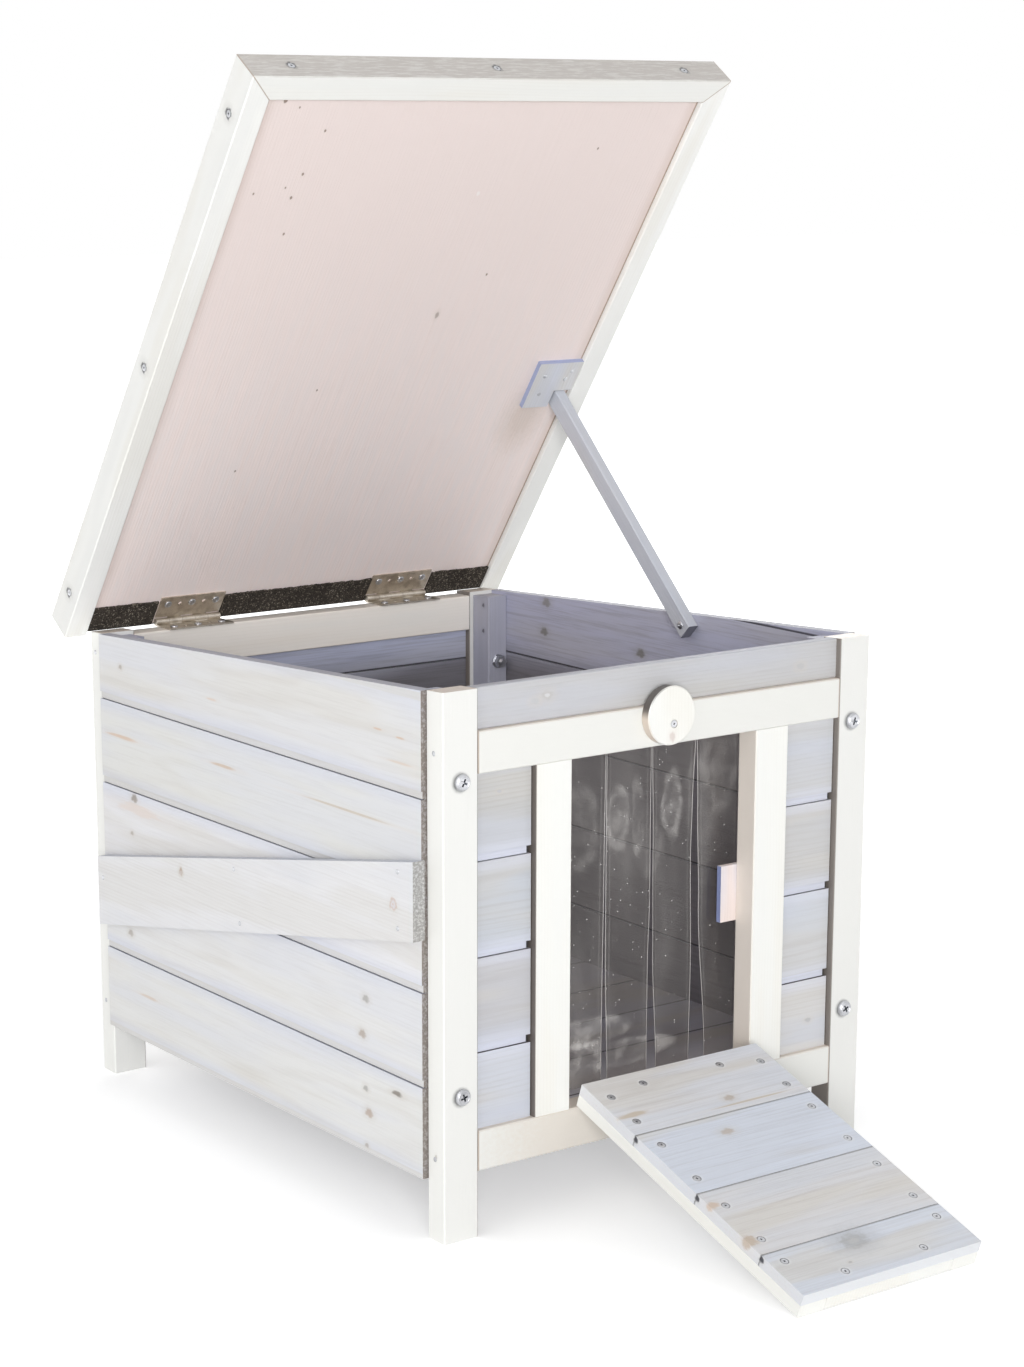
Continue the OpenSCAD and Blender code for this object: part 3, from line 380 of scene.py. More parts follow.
# The ramp's screws: how far from the middle, and how far up the ramp
rampPitch = [21.49, 52.81, 82.67, 124.5, 157.49, 197.51, 222.99]
rampHeads = [(72, up) for up in rampPitch] + [(36.96, 14.6), (36.96, 247.5)]
# The lid's screws: their height, the front and back edges, and how far along and across they are
lidTop, lidFront, lidBack = 13.05, -535.67, 5.3
lidAlong, lidAcross = (37.6, 270, 500), (-182, 0, 182)
# Where the lid's mitred strips meet: the inner corner, across and along
lidMitre = (201, -515.67)


# Marks in the wood: knot marks, long warm streaks and patches of painted shade, each at a place,
# with a radius
def mark(kind, at, r, **own):
    return {**kind, "at": at, "r": r, **own}


spot = {"heart": "#A79C90", "ring": "#CFC6BA", "depth": 0.55, "halo": 0.2}
# Painted shade: a dark ring round each lid screw, for the shade in its sunk hole
screwHoleShade = {"stretch": 1, "heart": "#55575B", "ring": "#B9B5B0", "depth": 0.95, "halo": 0.2}
battenScrew = {"stretch": 1, "heart": "#63616C", "ring": "#85848F", "depth": 0.9, "halo": 0.2}
streak = {"heart": "#D9BFA9", "ring": "#E3D6C9", "depth": 0.75, "halo": 0.15}
# The outer left and right walls and the inner right wall: kind, along, up, radius, what differs
wallMarks = {
    -204: [
        (spot, 430, 250, 4.2, {"heart": "#8F8377", "depth": 0.75}),
        (spot, 435, 220, 2.2, {}),
        (spot, 442, 134, 3.5, {}),
        (spot, 93, 163, 3.6, {"heart": "#97938C"}),
        (spot, 98, 135, 4.0, {"heart": "#A08A74"}),
        (spot, 94, 94, 2.8, {"heart": "#918F8B"}),
        (spot, 53, 101, 2.6, {"heart": "#7F766C", "stretch": 3.2, "depth": 0.8}),
        (spot, 90, 76, 4.2, {"heart": "#A98B70"}),
        (spot, 93, 50, 2.2, {}),
        (spot, 447, 356, 2.4, {}),
        (streak, 446, 298, 2.0, {"stretch": 16}),
        (streak, 287, 302, 1.7, {"stretch": 14, "heart": "#D2BCA6"}),
        (streak, 110, 300, 1.2, {"stretch": 60, "heart": "#CFC4B4"}),
        (streak, 425, 241, 6.0, {"stretch": 7, "heart": "#E6D6CB", "depth": 0.5}),
        (streak, 74, 367, 1.0, {"stretch": 7}),
        (streak, 46, 365, 1.0, {"stretch": 7}),
        (streak, 45, 347, 1.2, {"stretch": 16, "heart": "#DFD2C6"}),
        (streak, 413, 85, 1.6, {"stretch": 12, "heart": "#DCCDBF"}),
        (streak, 303, 352, 1.2, {"stretch": 8, "heart": "#E2D3C8"}),
    ],
    194: [
        (spot, 401, 377, 4.6, {"heart": "#85827C", "depth": 0.7, "ring": "#98948F"}),
        (spot, 404, 351, 4.4, {"heart": "#7F7C76", "depth": 0.8, "ring": "#98948F"}),
        (spot, 270, 351, 4.6, {"heart": "#7F7C76", "depth": 0.8, "ring": "#98948F"}),
    ],
    204: [
        *[(spot, y, z, r, {}) for y, z, r in (
            (118, 272, 3.8), (372, 214, 4.4), (296, 128, 3.0), (64, 352, 2.6), (214, 66, 4.0),
            (438, 331, 3.2), (182, 158, 2.4))],
        (streak, 250, 300, 1.8, {"stretch": 16}),
        (streak, 120, 96, 1.6, {"stretch": 12}),
    ],
}
sideKnots = [mark(kind, (x, y, z), r, **own)
             for x, marks in wallMarks.items() for kind, y, z, r, own in marks]
# Knots of the outer back boards: across, up, radius
backKnots = [mark(spot, (x, 498, z), r) for x, z, r in (
    (-96, 300, 3.6), (58, 226, 4.2), (121, 146, 3.0), (-34, 118, 3.8), (12, 268, 2.2))]
# Small dark pinholes in the plywood: across, along, radius
pinholes = [(-184, -513, 2.2), (-170, -507, 0.9), (-141, -487, 1.2), (-147, -449, 1.3),
            (-158, -437, 0.9), (-150, -428, 1.4), (-184, -432, 1.0), (-145, -395, 1.2),
            (62, -350, 1.1), (-60, -240, 1.0), (120, -470, 1.1), (-110, -160, 1.1)]
# A tint is a side, its colour, how strong it is and how much of it is worn away; a band is an
# axis, where it starts, how far it fades in, how strong it is and its colour
looks = {
    # Opaque white paint on planed pine: satin, with the grain just felt under it
    "whitePaintUpright": {
        # Painted shade and light: the band darkens each post's inner face in the gap by the board
        # ends, the front tint darkens the front faces and the left tint lightens the left faces of
        # the one paint
        **paint, "lay": "z", "bands": [(0, 171.2, -0.8, 0.9, "#665C55")],
        "tints": [("front", "#E8E8E5", 1), ("left", "#F8F8F4", 1), sawnEnd],
        "knotsAndShade": [
            mark(spot, (-199.8, 10, 64), 1.8, heart="#B5AFA8", halo=0.1),
            mark(spot, (171, 5, 5), 4, heart="#E0D0BE", halo=0.3),
            # Painted shadow round each bolt's head, dark and ragged
            *[mark(spot, (x, 0, z), 8.9, stretch=1, heart="#47484A", halo=0, depth=0.95,
                   ragged=0.1) for x in (-185.2, 182.8) for z in (109, 339)]]},
    "whitePaintStiles": {
        # Painted shade: the band darkens the stiles' outer sides in the gap by the board ends. The
        # side tints are the unpainted wood of the sides, a little darkened as painted shade
        **paint, "lay": "z", "seed": 3, "bands": [(0, 118.2, 0.6, 0.9, "#4E4743")],
        "tints": [("left", "#DED4CA", 0.85), ("right", "#DED4CA", 0.85)]},
    "whitePaintButton": {
        **paint, "lay": "z", "seed": 6,
        # The first tint is the unpainted wood of the lower left edge; the second is painted shade
        # on the upper left edge, in the gap between the button and the set-back board behind it
        "tints": [((-1, 0, -0.3), "#CDBBAA", 0.8), ((-0.62, 0, 0.78), "#514B48", 0.95)],
        "knotsAndShade": [mark(spot, (-2, -8.8, 350.5), 3.4, heart="#CDBDB6", ring="#E2D6CF")]},
    "whitePaintBack": {**paint, "lay": "x", "colour": "#F8F3EC", "warm": "#F4EBDF"},
    "whitePaintAcross": {
        **paint, "lay": "x", "bands": [(0, 168.9, 0.5, 0.7, "#AF9887")],
        # Painted shade: the front tint darkens the rails' front faces of the one paint
        "tints": [("front", "#E6E6E2", 1), ("top", "#DACDC0", 0.8)],
        # Painted shadow of the ramp: a wide, soft, pale brown patch on the bottom rail
        "knotsAndShade": [mark(spot, (-50, 0, 66), 46, ring="#DCD3C8", halo=0.7, depth=0, stretch=1.4)]},
    "whitePaintLidSides": {
        **paint, "colour": "#F7F7F4", "lay": "yFlat", "place": "lid", "mitre": lidMitre,
        "knotsAndShade": [mark(screwHoleShade, (side * lidHalf, lidBack - along, lidTop), 5.2)
                  for side in (-1, 1) for along in lidAlong]},
    "whitePaintLidFront": {
        **paint, "lay": "xFlat", "place": "lid", "mitre": lidMitre,
        "tints": [("front", "#C1BBB6", 0.95, 0.35)],
        "knotsAndShade": [mark(screwHoleShade, (x, lidFront, lidTop), 5.2) for x in lidAcross]},
    "whitePaintRamp": {**paint, "lay": "z", "place": "ramp"},
    # Thin pale grey wash on tongued pine boards: cool and warm patches, faint streaks and knots
    "greyWashSides": {
        **wash, "lay": "y", "joint": 113.5, "pitch": cover, "span": (40, 410),
        "boards": sideBoards, "lip": "#DCDAD5", "inside": shadedInside, "cool": "#E2E4EC",
        "warm": "#E3E0D9", "knotsAndShade": sideKnots,
        "tints": [("front", "#756C66", 0.95, 0.25), ("top", "#A6A8B4", 0.85)]},
    "greyWashSign": {
        **wash, "lay": "y", "colour": "#EDEDEF", "seed": 5, "showing": 0.05, "cool": "#E2E4EB",
        "warm": "#E5E3DF",
        "tints": [("front", "#93928F", 0.95, 0.45), ("top", "#BFC2CC", 0.8),
                  ("under", "#BFC2CC", 0.8)],
        "knotsAndShade": [
            mark(spot, (-214, 340, 209), 4.0, stretch=0.8, heart="#B59A86", depth=0.8),
            mark(spot, (-214, 340, 208), 2.2, heart="#DAD6D6"),
            mark(spot, (-214, 42, 247), 5.6, stretch=1, halo=0.1, heart="#C9A892", depth=0.8),
            mark(spot, (-214, 42, 247), 4.4, stretch=1, halo=0, heart="#E2DFE2", depth=0.95),
            mark(spot, (-214, 42, 247), 1.2, stretch=1, halo=0, heart="#D2B5A5")]},
    "greyWashTopBoard": {
        **wash, "lay": "x", "colour": "#C4C4C6", "seed": 8, "inside": shadedInside,
        "warm": "#C2C0BB", "cool": "#C3C6D0", "tints": [("top", "#AEB0BA", 0.85)],
        "knotsAndShade": [mark(spot, (x, 5, z), r, heart=heart) for x, z, r, heart in (
            (-106, 391, 4.4, "#B5B6B8"), (-106, 391, 2.0, "#DDDEE2"),
            (-117, 388, 3.2, "#BDBFC2"), (134, 386, 3.4, "#B8B9BB"))]},
    "greyWashUpright": {
        **wash, "lay": "z", "colour": "#B3B4C2", "seed": 9, "cool": "#A9ACBF", "warm": "#B5B1B0",
        "knotsAndShade": [mark(battenScrew, (174, 467, z), 2.4) for z in (368, 345)]},
    "greyWashAcross": {**wash, "lay": "x", "colour": "#B9B9BE", "seed": 11},
    "greyWashDeep": {**wash, "lay": "yFlat", "colour": "#B9B9BE", "seed": 12},
    "greyWashFloor": {
        **wash, "lay": "xFlat", "joint": 482.7 - cover * 9, "pitch": cover, "colour": "#94929A",
        "seed": 13, "seam": 0.85, "cool": "#9698A6", "warm": "#989289",
        # Painted light: the band makes the floor boards paler near the doorway
        "bands": [(1, 130, -90, 0.8, "#D8D6DA")]},
    "greyWashRamp": {
        **wash, "lay": "x", "place": "ramp", "joint": 66.5, "pitch": rampCover, "span": (0, 260),
        "boards": rampBoards, "seam": 0.4, "seed": 4, "showing": 0.11, "fibres": 0.17,
        "cool": "#D6DBE5", "warm": "#DAD4C8", "heads": rampHeads,
        "tints": [("left", "#DEDFE3", 0.9, 0.3), ("right", "#DEDFE3", 0.9),
                  ("top", "#E3E5E8", 0.9)],
        "knotsAndShade": [
            mark(spot, (16, 22, 52), 4.2, heart="#B09F8C", ring="#C9BFAE"),
            mark(spot, (-13, 22, 86), 4.4, heart="#B5A38F", ring="#CCC5BA", stretch=1.8),
            mark(spot, (-8, 22, 223), 10, heart="#A5A5A4", ring="#BBBDC2", halo=0.45, stretch=1.6),
            mark(spot, (-8, 22, 223), 4, heart="#C6C6C6", stretch=1.6, halo=0),
            mark(spot, (-27, 22, 241), 1.4, heart="#A9A9AA"),
            mark(streak, (-70, 22, 45), 3.5, stretch=5, heart="#C6B7A2"),
            mark(streak, (30, 22, 60), 1.4, stretch=30, heart="#C4B9A8"),
            mark(streak, (-82, 22, 154), 4.5, stretch=2, heart="#D3BDA9"),
            mark(streak, (-82, 22, 196), 7, stretch=1.4, heart="#C4B19C"),
            # The dark chips where the planks meet at the left edge
            *[mark(spot, (-83.5, 19.5, up), 3.2, stretch=1.3, heart="#3E3F45", depth=0.95,
                   halo=0.1) for up in (68.5, 141, 213.5)]]},
    # Blue-grey wash on the boards beside the doorway
    "blueWashLeft": {
        **wash, "lay": "x", "joint": 137, "pitch": cover, "span": (75, 350), "boards": frontLeft,
        "seed": 2, "notch": (-122.9, -119.9), "inside": shadedInside, "lip": "#D3D7E6",
        "cool": "#C6CBD9", "warm": "#CBC8C3", "showing": 0.09,
        "knotsAndShade": [mark(spot, (-148, 5, 327), 1.8, heart="#B4B6BE")]},
    "blueWashRight": {
        **wash, "lay": "x", "joint": 137, "pitch": cover, "span": (75, 350), "boards": frontRight,
        "seed": 3, "notch": (166.1, 169.1), "inside": shadedInside, "lip": "#D3D7E6",
        "cool": "#C9CEDB", "warm": "#CECBC6", "showing": 0.09,
        "knotsAndShade": [mark(spot, (151, 5, 104), 2.6, heart="#B0B1B4")]},
    "blueWashBack": {
        **wash, "lay": "x", "joint": 106, "pitch": cover, "colour": "#D4D6DC", "seed": 6,
        "inside": ["#C6CCE6", "#C2C5D6"], "knotsAndShade": backKnots},
    "blueWashStay": {
        **wash, "lay": "y", "place": "stay", "colour": "#C7CAD2", "seed": 7, "cool": "#BEC3D0",
        "warm": "#C8C7C5", "tints": [("front", "#71727E", 0.9), ("under", "#8C8F9E", 0.5)]},
    "blueWashBracket": {
        **wash, "lay": "yFlat", "place": "lid", "colour": "#D6D8DE", "seed": 7,
        "tints": [("left", "#9DA7CB", 0.9), ("front", "#9DA7CB", 0.9), ("back", "#6E6F7C", 0.9)]},
    # Bare plywood: pinkish face veneer with soft cloudy figure and small open pores
    "plywoodLid": {
        **wash, "lay": "yFlat", "place": "lid", "colour": "#F8EAE6", "seed": 14, "showing": 0.05,
        "fibres": 0.12, "late": "#E6D3CA", "patches": 0.12, "cool": "#F0E4E2", "warm": "#F4E7E0",
        "mottle": "#F3E8E5", "flecks": 0.3,
        # Painted light and shade: the panel is paler near the hinge and darker towards the free
        # edge, a soft painted shadow runs beside the side strips, and the thin brown line at each
        # side edge is the unpainted ply edge with painted shade in the gap
        "bands": [(1, 120, 330, 0.9, "#EBDDD9"), (0, 188, 12, 0.3, "#BCA79A"),
                  (0, 199.0, 0.8, 0.85, "#A58C7B")],
        "knotsAndShade": [
            *[mark(spot, (x, y, 3.3), r, heart="#7E6555", halo=0.1, depth=0.8)
              for x, y, r in pinholes],
            mark(spot, (21, -429, 3.3), 2.0, heart="#F4F0EE", halo=0),
            mark(spot, (29, -311, 3.3), 2.2, stretch=2, heart="#87766C"),
            # Painted shadow beside the stay's bracket
            mark(spot, (164, -196, 3.3), 16, stretch=1.6, depth=0.22, heart="#BFAC9C",
                 ring="#D6C6BA", halo=0.35)]},
    "plywoodStop": {
        **wash, "lay": "z", "colour": "#EBDDD7", "seed": 15,
        "tints": [("left", "#7180B0", 0.9), ("under", "#8F9AC0", 0.9)]},
}
materials = {name: timber(name, look) for name, look in looks.items()}
print("timber finishes made")


# Metal: plated or aged, with faint handling marks
def metal(name, look):
    material, add = newMaterial(name)
    vector = millimetres(add, "house")
    fine = add("grain", vector, 2.2, 4.0, 0.65)
    slow = add("grain", vector, 0.14, 3.0)
    colour = add("mix", add("spread", fine, 0.45, 0.75), look["colour"], look["mark"])
    colour = add("mix", add("spread", slow, 0.4, 0.7, 0, look["age"]), colour, look["dull"])
    rough = add("spread", fine, 0.3, 0.8, look["rough"] - 0.08, look["rough"] + 0.12)
    bump = add("ShaderNodeBump", {"Height": fine, "Strength": 0.12, "Distance": 0.0002})
    close(add, add("ShaderNodeBsdfPrincipled", {
        "Base Color": colour, "Metallic": 1.0, "Roughness": rough, "Normal": bump}))
    return material


# Bright zinc plating: cool and clean, with soft reflections
materials["zincPlate"] = metal("zincPlate", {
    "colour": "#CDCED2", "mark": "#B4B6BB", "dull": "#A0A2A6", "age": 0.4, "rough": 0.34})
# Inside of a recess: the same plating, darkened as painted shade
materials["recessShade"] = metal("recessShade", {
    "colour": "#5C6068", "mark": "#4A4E54", "dull": "#45484C", "age": 0.5, "rough": 0.5})
# Old nickel plating of the hinges: brownish and half dull
materials["agedNickel"] = metal("agedNickel", {
    "colour": "#D6CEC2", "mark": "#B6ADA1", "dull": "#A0968A", "age": 0.6, "rough": 0.42})


# Mineral roofing felt: matt, nearly black brown, with pale and dark granules
def roofingFelt(name):
    material, add = newMaterial(name)
    vector = millimetres(add, "lid")
    cells = add("ShaderNodeTexVoronoi", {"Vector": vector, "Scale": 1.1})
    fleck = add("ShaderNodeSeparateColor", {"Color": cells.outputs["Color"]}).outputs
    slow = add("grain", vector, 0.05, 3.0)
    colour = add("mix", add("spread", fleck[0], 0.1, 1.0), "#2E2A26", "#4A443D")
    colour = add("mix", add("spread", fleck[1], 0.88, 0.93), colour, "#857D72")
    colour = add("mix", add("spread", slow, 0.35, 0.7, 0, 0.35), colour, "#241F1B")
    bump = add("ShaderNodeBump", {
        "Height": cells.outputs["Distance"], "Strength": 0.8, "Distance": 0.0005,
        "Filter Width": 1.0}, invert=True)
    close(add, add("ShaderNodeBsdfPrincipled", {
        "Base Color": colour, "Roughness": 0.92, "Normal": bump, "Specular IOR Level": 0.2}))
    return material


materials["roofingFelt"] = roofingFelt("roofingFelt")

# The strip curtain: the strips hang from "top" to "low", "deep" is how far in they are, and "back"
# moves the thick sheet to its place. Left and right edges are (height above the ground, place
# across) as they hang, and "bow" is how far a strip's middle stands out. A glint is a painted
# highlight of a bulge in the vinyl: where it is across and up, how wide and high it is, and how
# milky.
curtain = {
    "deep": 28.9, "top": 345, "low": 84, "wide": 43, "thick": 1.5, "back": 0.7, "ripple": 0.35,
    "glints": [(-22, 286, 9, 22, 0.11), (-3, 284, 6, 26, 0.06), (32, 288, 9, 24, 0.13),
               (-55, 284, 14, 30, 0.05), (8, 262, 12, 22, 0.04), (60, 290, 13, 30, 0.04),
               (-50, 124, 34, 10, 0.2), (-14, 103, 40, 9, 0.16), (-60, 100, 26, 16, 0.22),
               (78, 318, 16, 34, 0.06)],
    "strips": [
        {"left": [(345, -75.2), (84, -74.6)], "right": [(345, -32.8), (264, -33.4), (84, -34.6)],
         "bow": 1.2},
        {"left": [(345, -32.2), (186, -32.2), (84, -29.4)],
         "right": [(345, 10.2), (217, 10.4), (171, 9.2), (84, 9.0)], "bow": -1.0},
        {"left": [(345, 10.8), (256, 12.6), (178, 13.6), (84, 18.0)],
         "right": [(345, 53.2), (289, 50.8), (250, 49.9), (164, 51.4), (84, 50.6)], "bow": 1.5},
        {"left": [(345, 53.8), (288, 55.2), (210, 57.8), (84, 66.0)],
         "right": [(345, 96.2), (84, 95.6)], "bow": -0.8},
    ],
    "header": {"left": -75.4, "wide": 171.8, "low": 346.6, "high": 25.2, "deep": 28.2,
               "margin": 20},
}


# Painted highlights of the bulges in the vinyl: each a milky blot with a paler rim, broken up by
# wisps
def paintedGlints(add, vector, veil):
    wisps = add("spread", add("grain", vector, 0.06, 4.0, 0.6), 0.36, 0.66, 0.15, 1)
    bent = add("SUBTRACT", add("grain", vector, 0.05, 1.0), 0.5)
    shift = add("ShaderNodeCombineXYZ", {"X": add("MULTIPLY", bent, 12)})
    curved = add("moved", vector, shift)
    for x, z, wide, high, much in curtain["glints"]:
        away = add("away", curved, (x, curtain["deep"], z))
        away = add("length", add("scaled", away, (1 / wide, 0, 1 / high)))
        rim = add("MULTIPLY", add("spread", away, 0.6, 0.95),
                  add("spread", away, 1.35, 1.0, 0, much * 1.2))
        blot = add("ADD", add("spread", away, 1.25, 0.2, 0, much), rim)
        veil = add("ADD", veil, add("MULTIPLY", blot, wisps))
    return veil


# Clear vinyl sheet: see-through, with painted highlights of its bulges, specks of dust and whitish
# cut edges. The mesh attribute "margin" is how far a point is from the cut.
def clearVinyl(name):
    material, add = newMaterial(name)
    vector = millimetres(add, "house")
    long = add("scaled", vector, (0.03, 0.03, 0.008))
    veil = add("spread", add("grain", long, 1.0, 3.0), 0.4, 0.75, 0.02, 0.075)
    cells = add("ShaderNodeTexVoronoi", {"Vector": vector, "Scale": 0.33})
    chosen = add("ShaderNodeSeparateColor", {"Color": cells.outputs["Color"]})
    speck = add("MULTIPLY", add("spread", cells.outputs["Distance"], 0.2, 0.1),
                add("spread", chosen, 0.8, 1.0, 0, 0.7))
    veil = paintedGlints(add, vector, add("ADD", veil, speck))
    margin = add("ShaderNodeAttribute", attribute_name="margin").outputs["Fac"]
    second = add("MULTIPLY", add("spread", margin, 3.0, 3.6),
                 add("spread", margin, 4.6, 4.0, 0, 0.05))
    lines = add("ADD", add("spread", margin, 0.9, 0.45, 0, 0.34), second)
    veil = add("ADD", veil, lines, use_clamp=True)
    clear = add("ShaderNodeBsdfTransparent", {"Color": "#EFEDEB"})
    milky = add("ShaderNodeBsdfPrincipled", {
        "Base Color": "#E2E0DE", "Roughness": 0.45, "Specular IOR Level": 0.3})
    gloss = add("ShaderNodeBsdfGlossy", {"Color": "#FFFFFF", "Roughness": 0.16})
    body = add("ShaderNodeMixShader", {0: veil, 1: clear, 2: milky})
    slant = add("ShaderNodeLayerWeight", {"Blend": 0.5}).outputs["Facing"]
    sheen = add("MULTIPLY", add("POWER", slant, 5), 0.7)
    sheen = add("ADD", sheen, 0.014)
    close(add, add("ShaderNodeMixShader", {0: sheen, 1: body, 2: gloss}))
    return material


materials["clearVinyl"] = clearVinyl("clearVinyl")
print("metal, felt and vinyl finishes made")

# The finish of each CAD node
finishes = {
    "whitePaintUpright": ["leg_front_left", "leg_front_right", "leg_back_left", "leg_back_right"],
    "whitePaintStiles": ["door_stile_left", "door_stile_right"],
    "whitePaintButton": ["turn_button"],
    "whitePaintAcross": ["front_top_rail", "front_bottom_rail"],
    "whitePaintBack": ["back_top_rail", "back_bottom_rail"],
    "whitePaintLidSides": ["lid_frame_left", "lid_frame_right"],
    "whitePaintLidFront": ["lid_frame_front"],
    "whitePaintRamp": ["ramp_side_strips", "ramp_cross_strips"],
    "greyWashSides": ["side_boards_left", "side_boards_right"],
    "greyWashSign": ["sign_board"],
    "greyWashTopBoard": ["front_top_board"],
    "greyWashUpright": ["batten_front_left", "batten_front_right", "batten_back_left",
                        "batten_back_right"],
    "greyWashAcross": ["flap_batten", "flap_clamp"],
    "greyWashDeep": ["floor_bearer_left", "floor_bearer_right"],
    "greyWashFloor": ["floor_boards"],
    "greyWashRamp": ["ramp_planks"],
    "blueWashLeft": ["front_boards_left"],
    "blueWashRight": ["front_boards_right"],
    "blueWashBack": ["back_boards"],
    "blueWashStay": ["stay"],
    "blueWashBracket": ["stay_bracket"],
    "plywoodLid": ["lid_panel"],
    "plywoodStop": ["door_stop"],
    "roofingFelt": ["lid_felt"],
    "zincPlate": ["nails", "corner_bolts", "corner_washers", "corner_nuts", "flap_screws",
                  "turn_button_screw", "stay_screw", "hinge_screws", "lid_hinge_screws",
                  "lid_screws", "ramp_screws"],
    "agedNickel": ["lid_hinge_rail_leaves", "lid_hinge_pins", "lid_hinge_lid_leaves",
                   "ramp_hinge_leaves", "ramp_hinge_rail_leaves", "ramp_hinge_pins"],
    "clearVinyl": ["flap_header", "flap_strip_1", "flap_strip_2", "flap_strip_3", "flap_strip_4"],
}
for finish, nodeNames in finishes.items():
    for nodeName in nodeNames:
        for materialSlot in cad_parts[nodeName].material_slots:
            materialSlot.material = materials[finish]
print("finishes given to the CAD nodes")


def toMesh(name, bm):
    mesh = bpy.data.meshes.new(name)
    bm.to_mesh(mesh)
    bm.free()
    return mesh


def toScene(name, data):
    obj = bpy.data.objects.new(name, data)
    scene.collection.objects.link(obj)
    return obj


# Turns a mesh in millimetres into a piece in its place, riding on a body
def makePiece(name, bm, place, body, finish, replaced=(), sharp=35):
    bmesh.ops.transform(bm, matrix=places[place], verts=bm.verts)
    bmesh.ops.recalc_face_normals(bm, faces=bm.faces)
    mesh = toMesh(name, bm)
    mesh.shade_smooth()
    mesh.set_sharp_from_angle(angle=radians(sharp))
    for part in finish:
        mesh.materials.append(materials[part])
    obj = toScene(name, mesh)
    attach(obj, body)
    if replaced:
        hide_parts(*replaced)


# A profile of (radius, height) points turned once round Z
def lathe(profile, steps):
    bm = bmesh.new()
    verts = [bm.verts.new((r, 0, z)) for r, z in profile]
    edges = [bm.edges.new(pair) for pair in zip(verts, verts[1:])]
    bmesh.ops.spin(bm, geom=verts + edges, cent=(0, 0, 0), axis=(0, 0, 1), angle=2 * pi,
                   steps=steps, use_merge=True, use_duplicate=False)
    bmesh.ops.remove_doubles(bm, verts=bm.verts, dist=0.001)
    bmesh.ops.dissolve_degenerate(bm, edges=bm.edges, dist=0.0005)
    bmesh.ops.recalc_face_normals(bm, faces=bm.faces)
    return bm


# The first mesh with the second one cut out of it
def cutOut(bm, tool):
    made = [toScene(name, toMesh(name, part)) for name, part in (("base", bm), ("tool", tool))]
    cut = made[0].modifiers.new("cut", "BOOLEAN")
    cut.operation, cut.solver, cut.object = "DIFFERENCE", "EXACT", made[1]
    cut.use_self = True
    solved = made[0].evaluated_get(bpy.context.evaluated_depsgraph_get()).to_mesh()
    result = bmesh.new()
    result.from_mesh(solved)
    for obj in made:
        bpy.data.objects.remove(obj)
    return result


# Cross recess: two slots that narrow towards the bottom, turned by an angle
def crossSlots(top, width, length, depth, turn):
    bm = bmesh.new()
    for quarter in (0, pi / 2):
        made = bmesh.ops.create_cube(bm, size=1)["verts"]
        for vert in made:
            low = vert.co.z < 0
            vert.co.x *= width * (0.7 if low else 1.15)
            vert.co.y *= length * (0.45 if low else 1.05)
            vert.co.z = top - depth if low else top + 1
        bmesh.ops.rotate(bm, cent=(0, 0, 0), matrix=Matrix.Rotation(quarter + turn, 3, "Z"),
                         verts=made)
    return bm


# Copies of one mesh at each (place, direction out of the head) in one new mesh, each screwed in
# to another angle
def copies(bm, spots, twistStep=2.399):
    base = toMesh("base", bm)
    result = bmesh.new()
    for index, (at, out) in enumerate(spots):
        one = base.copy()
        turn = Vector(out).to_track_quat("Z", "Y").to_matrix().to_4x4()
        twist = Matrix.Rotation(index * twistStep, 4, "Z")
        one.transform(Matrix.Translation(at) @ turn @ twist)
        result.from_mesh(one)
        bpy.data.meshes.remove(one)
    bpy.data.meshes.remove(base)
    return result


# Fasteners: the head's seat is at Z = 0, the recess is in the head. Radii of head and shank, the
# head's height, how long the thread is where one shows, and the recess as slot, reach and depth.
fasteners = {
    "cornerBolt": {"head": 6.3, "high": 3.6, "shank": 3.0, "steps": 40, "thread": 14,
                   "slot": 1.5, "reach": 7.2, "depth": 1.7},
    "roundScrew": {"head": 3.3, "high": 1.5, "shank": 1.7, "steps": 28,
                   "slot": 0.6, "reach": 3.4, "depth": 1.0},
    "flatScrew": {"head": 2.7, "high": 0.0, "shank": 1.7, "steps": 28,
                  "slot": 0.6, "reach": 2.7, "depth": 1.3},
    "nail": {"head": 1.9, "high": 0.6, "shank": 1.1, "steps": 16},
}
thread = {"pitch": 1.0, "deep": 0.35, "point": 0.8}


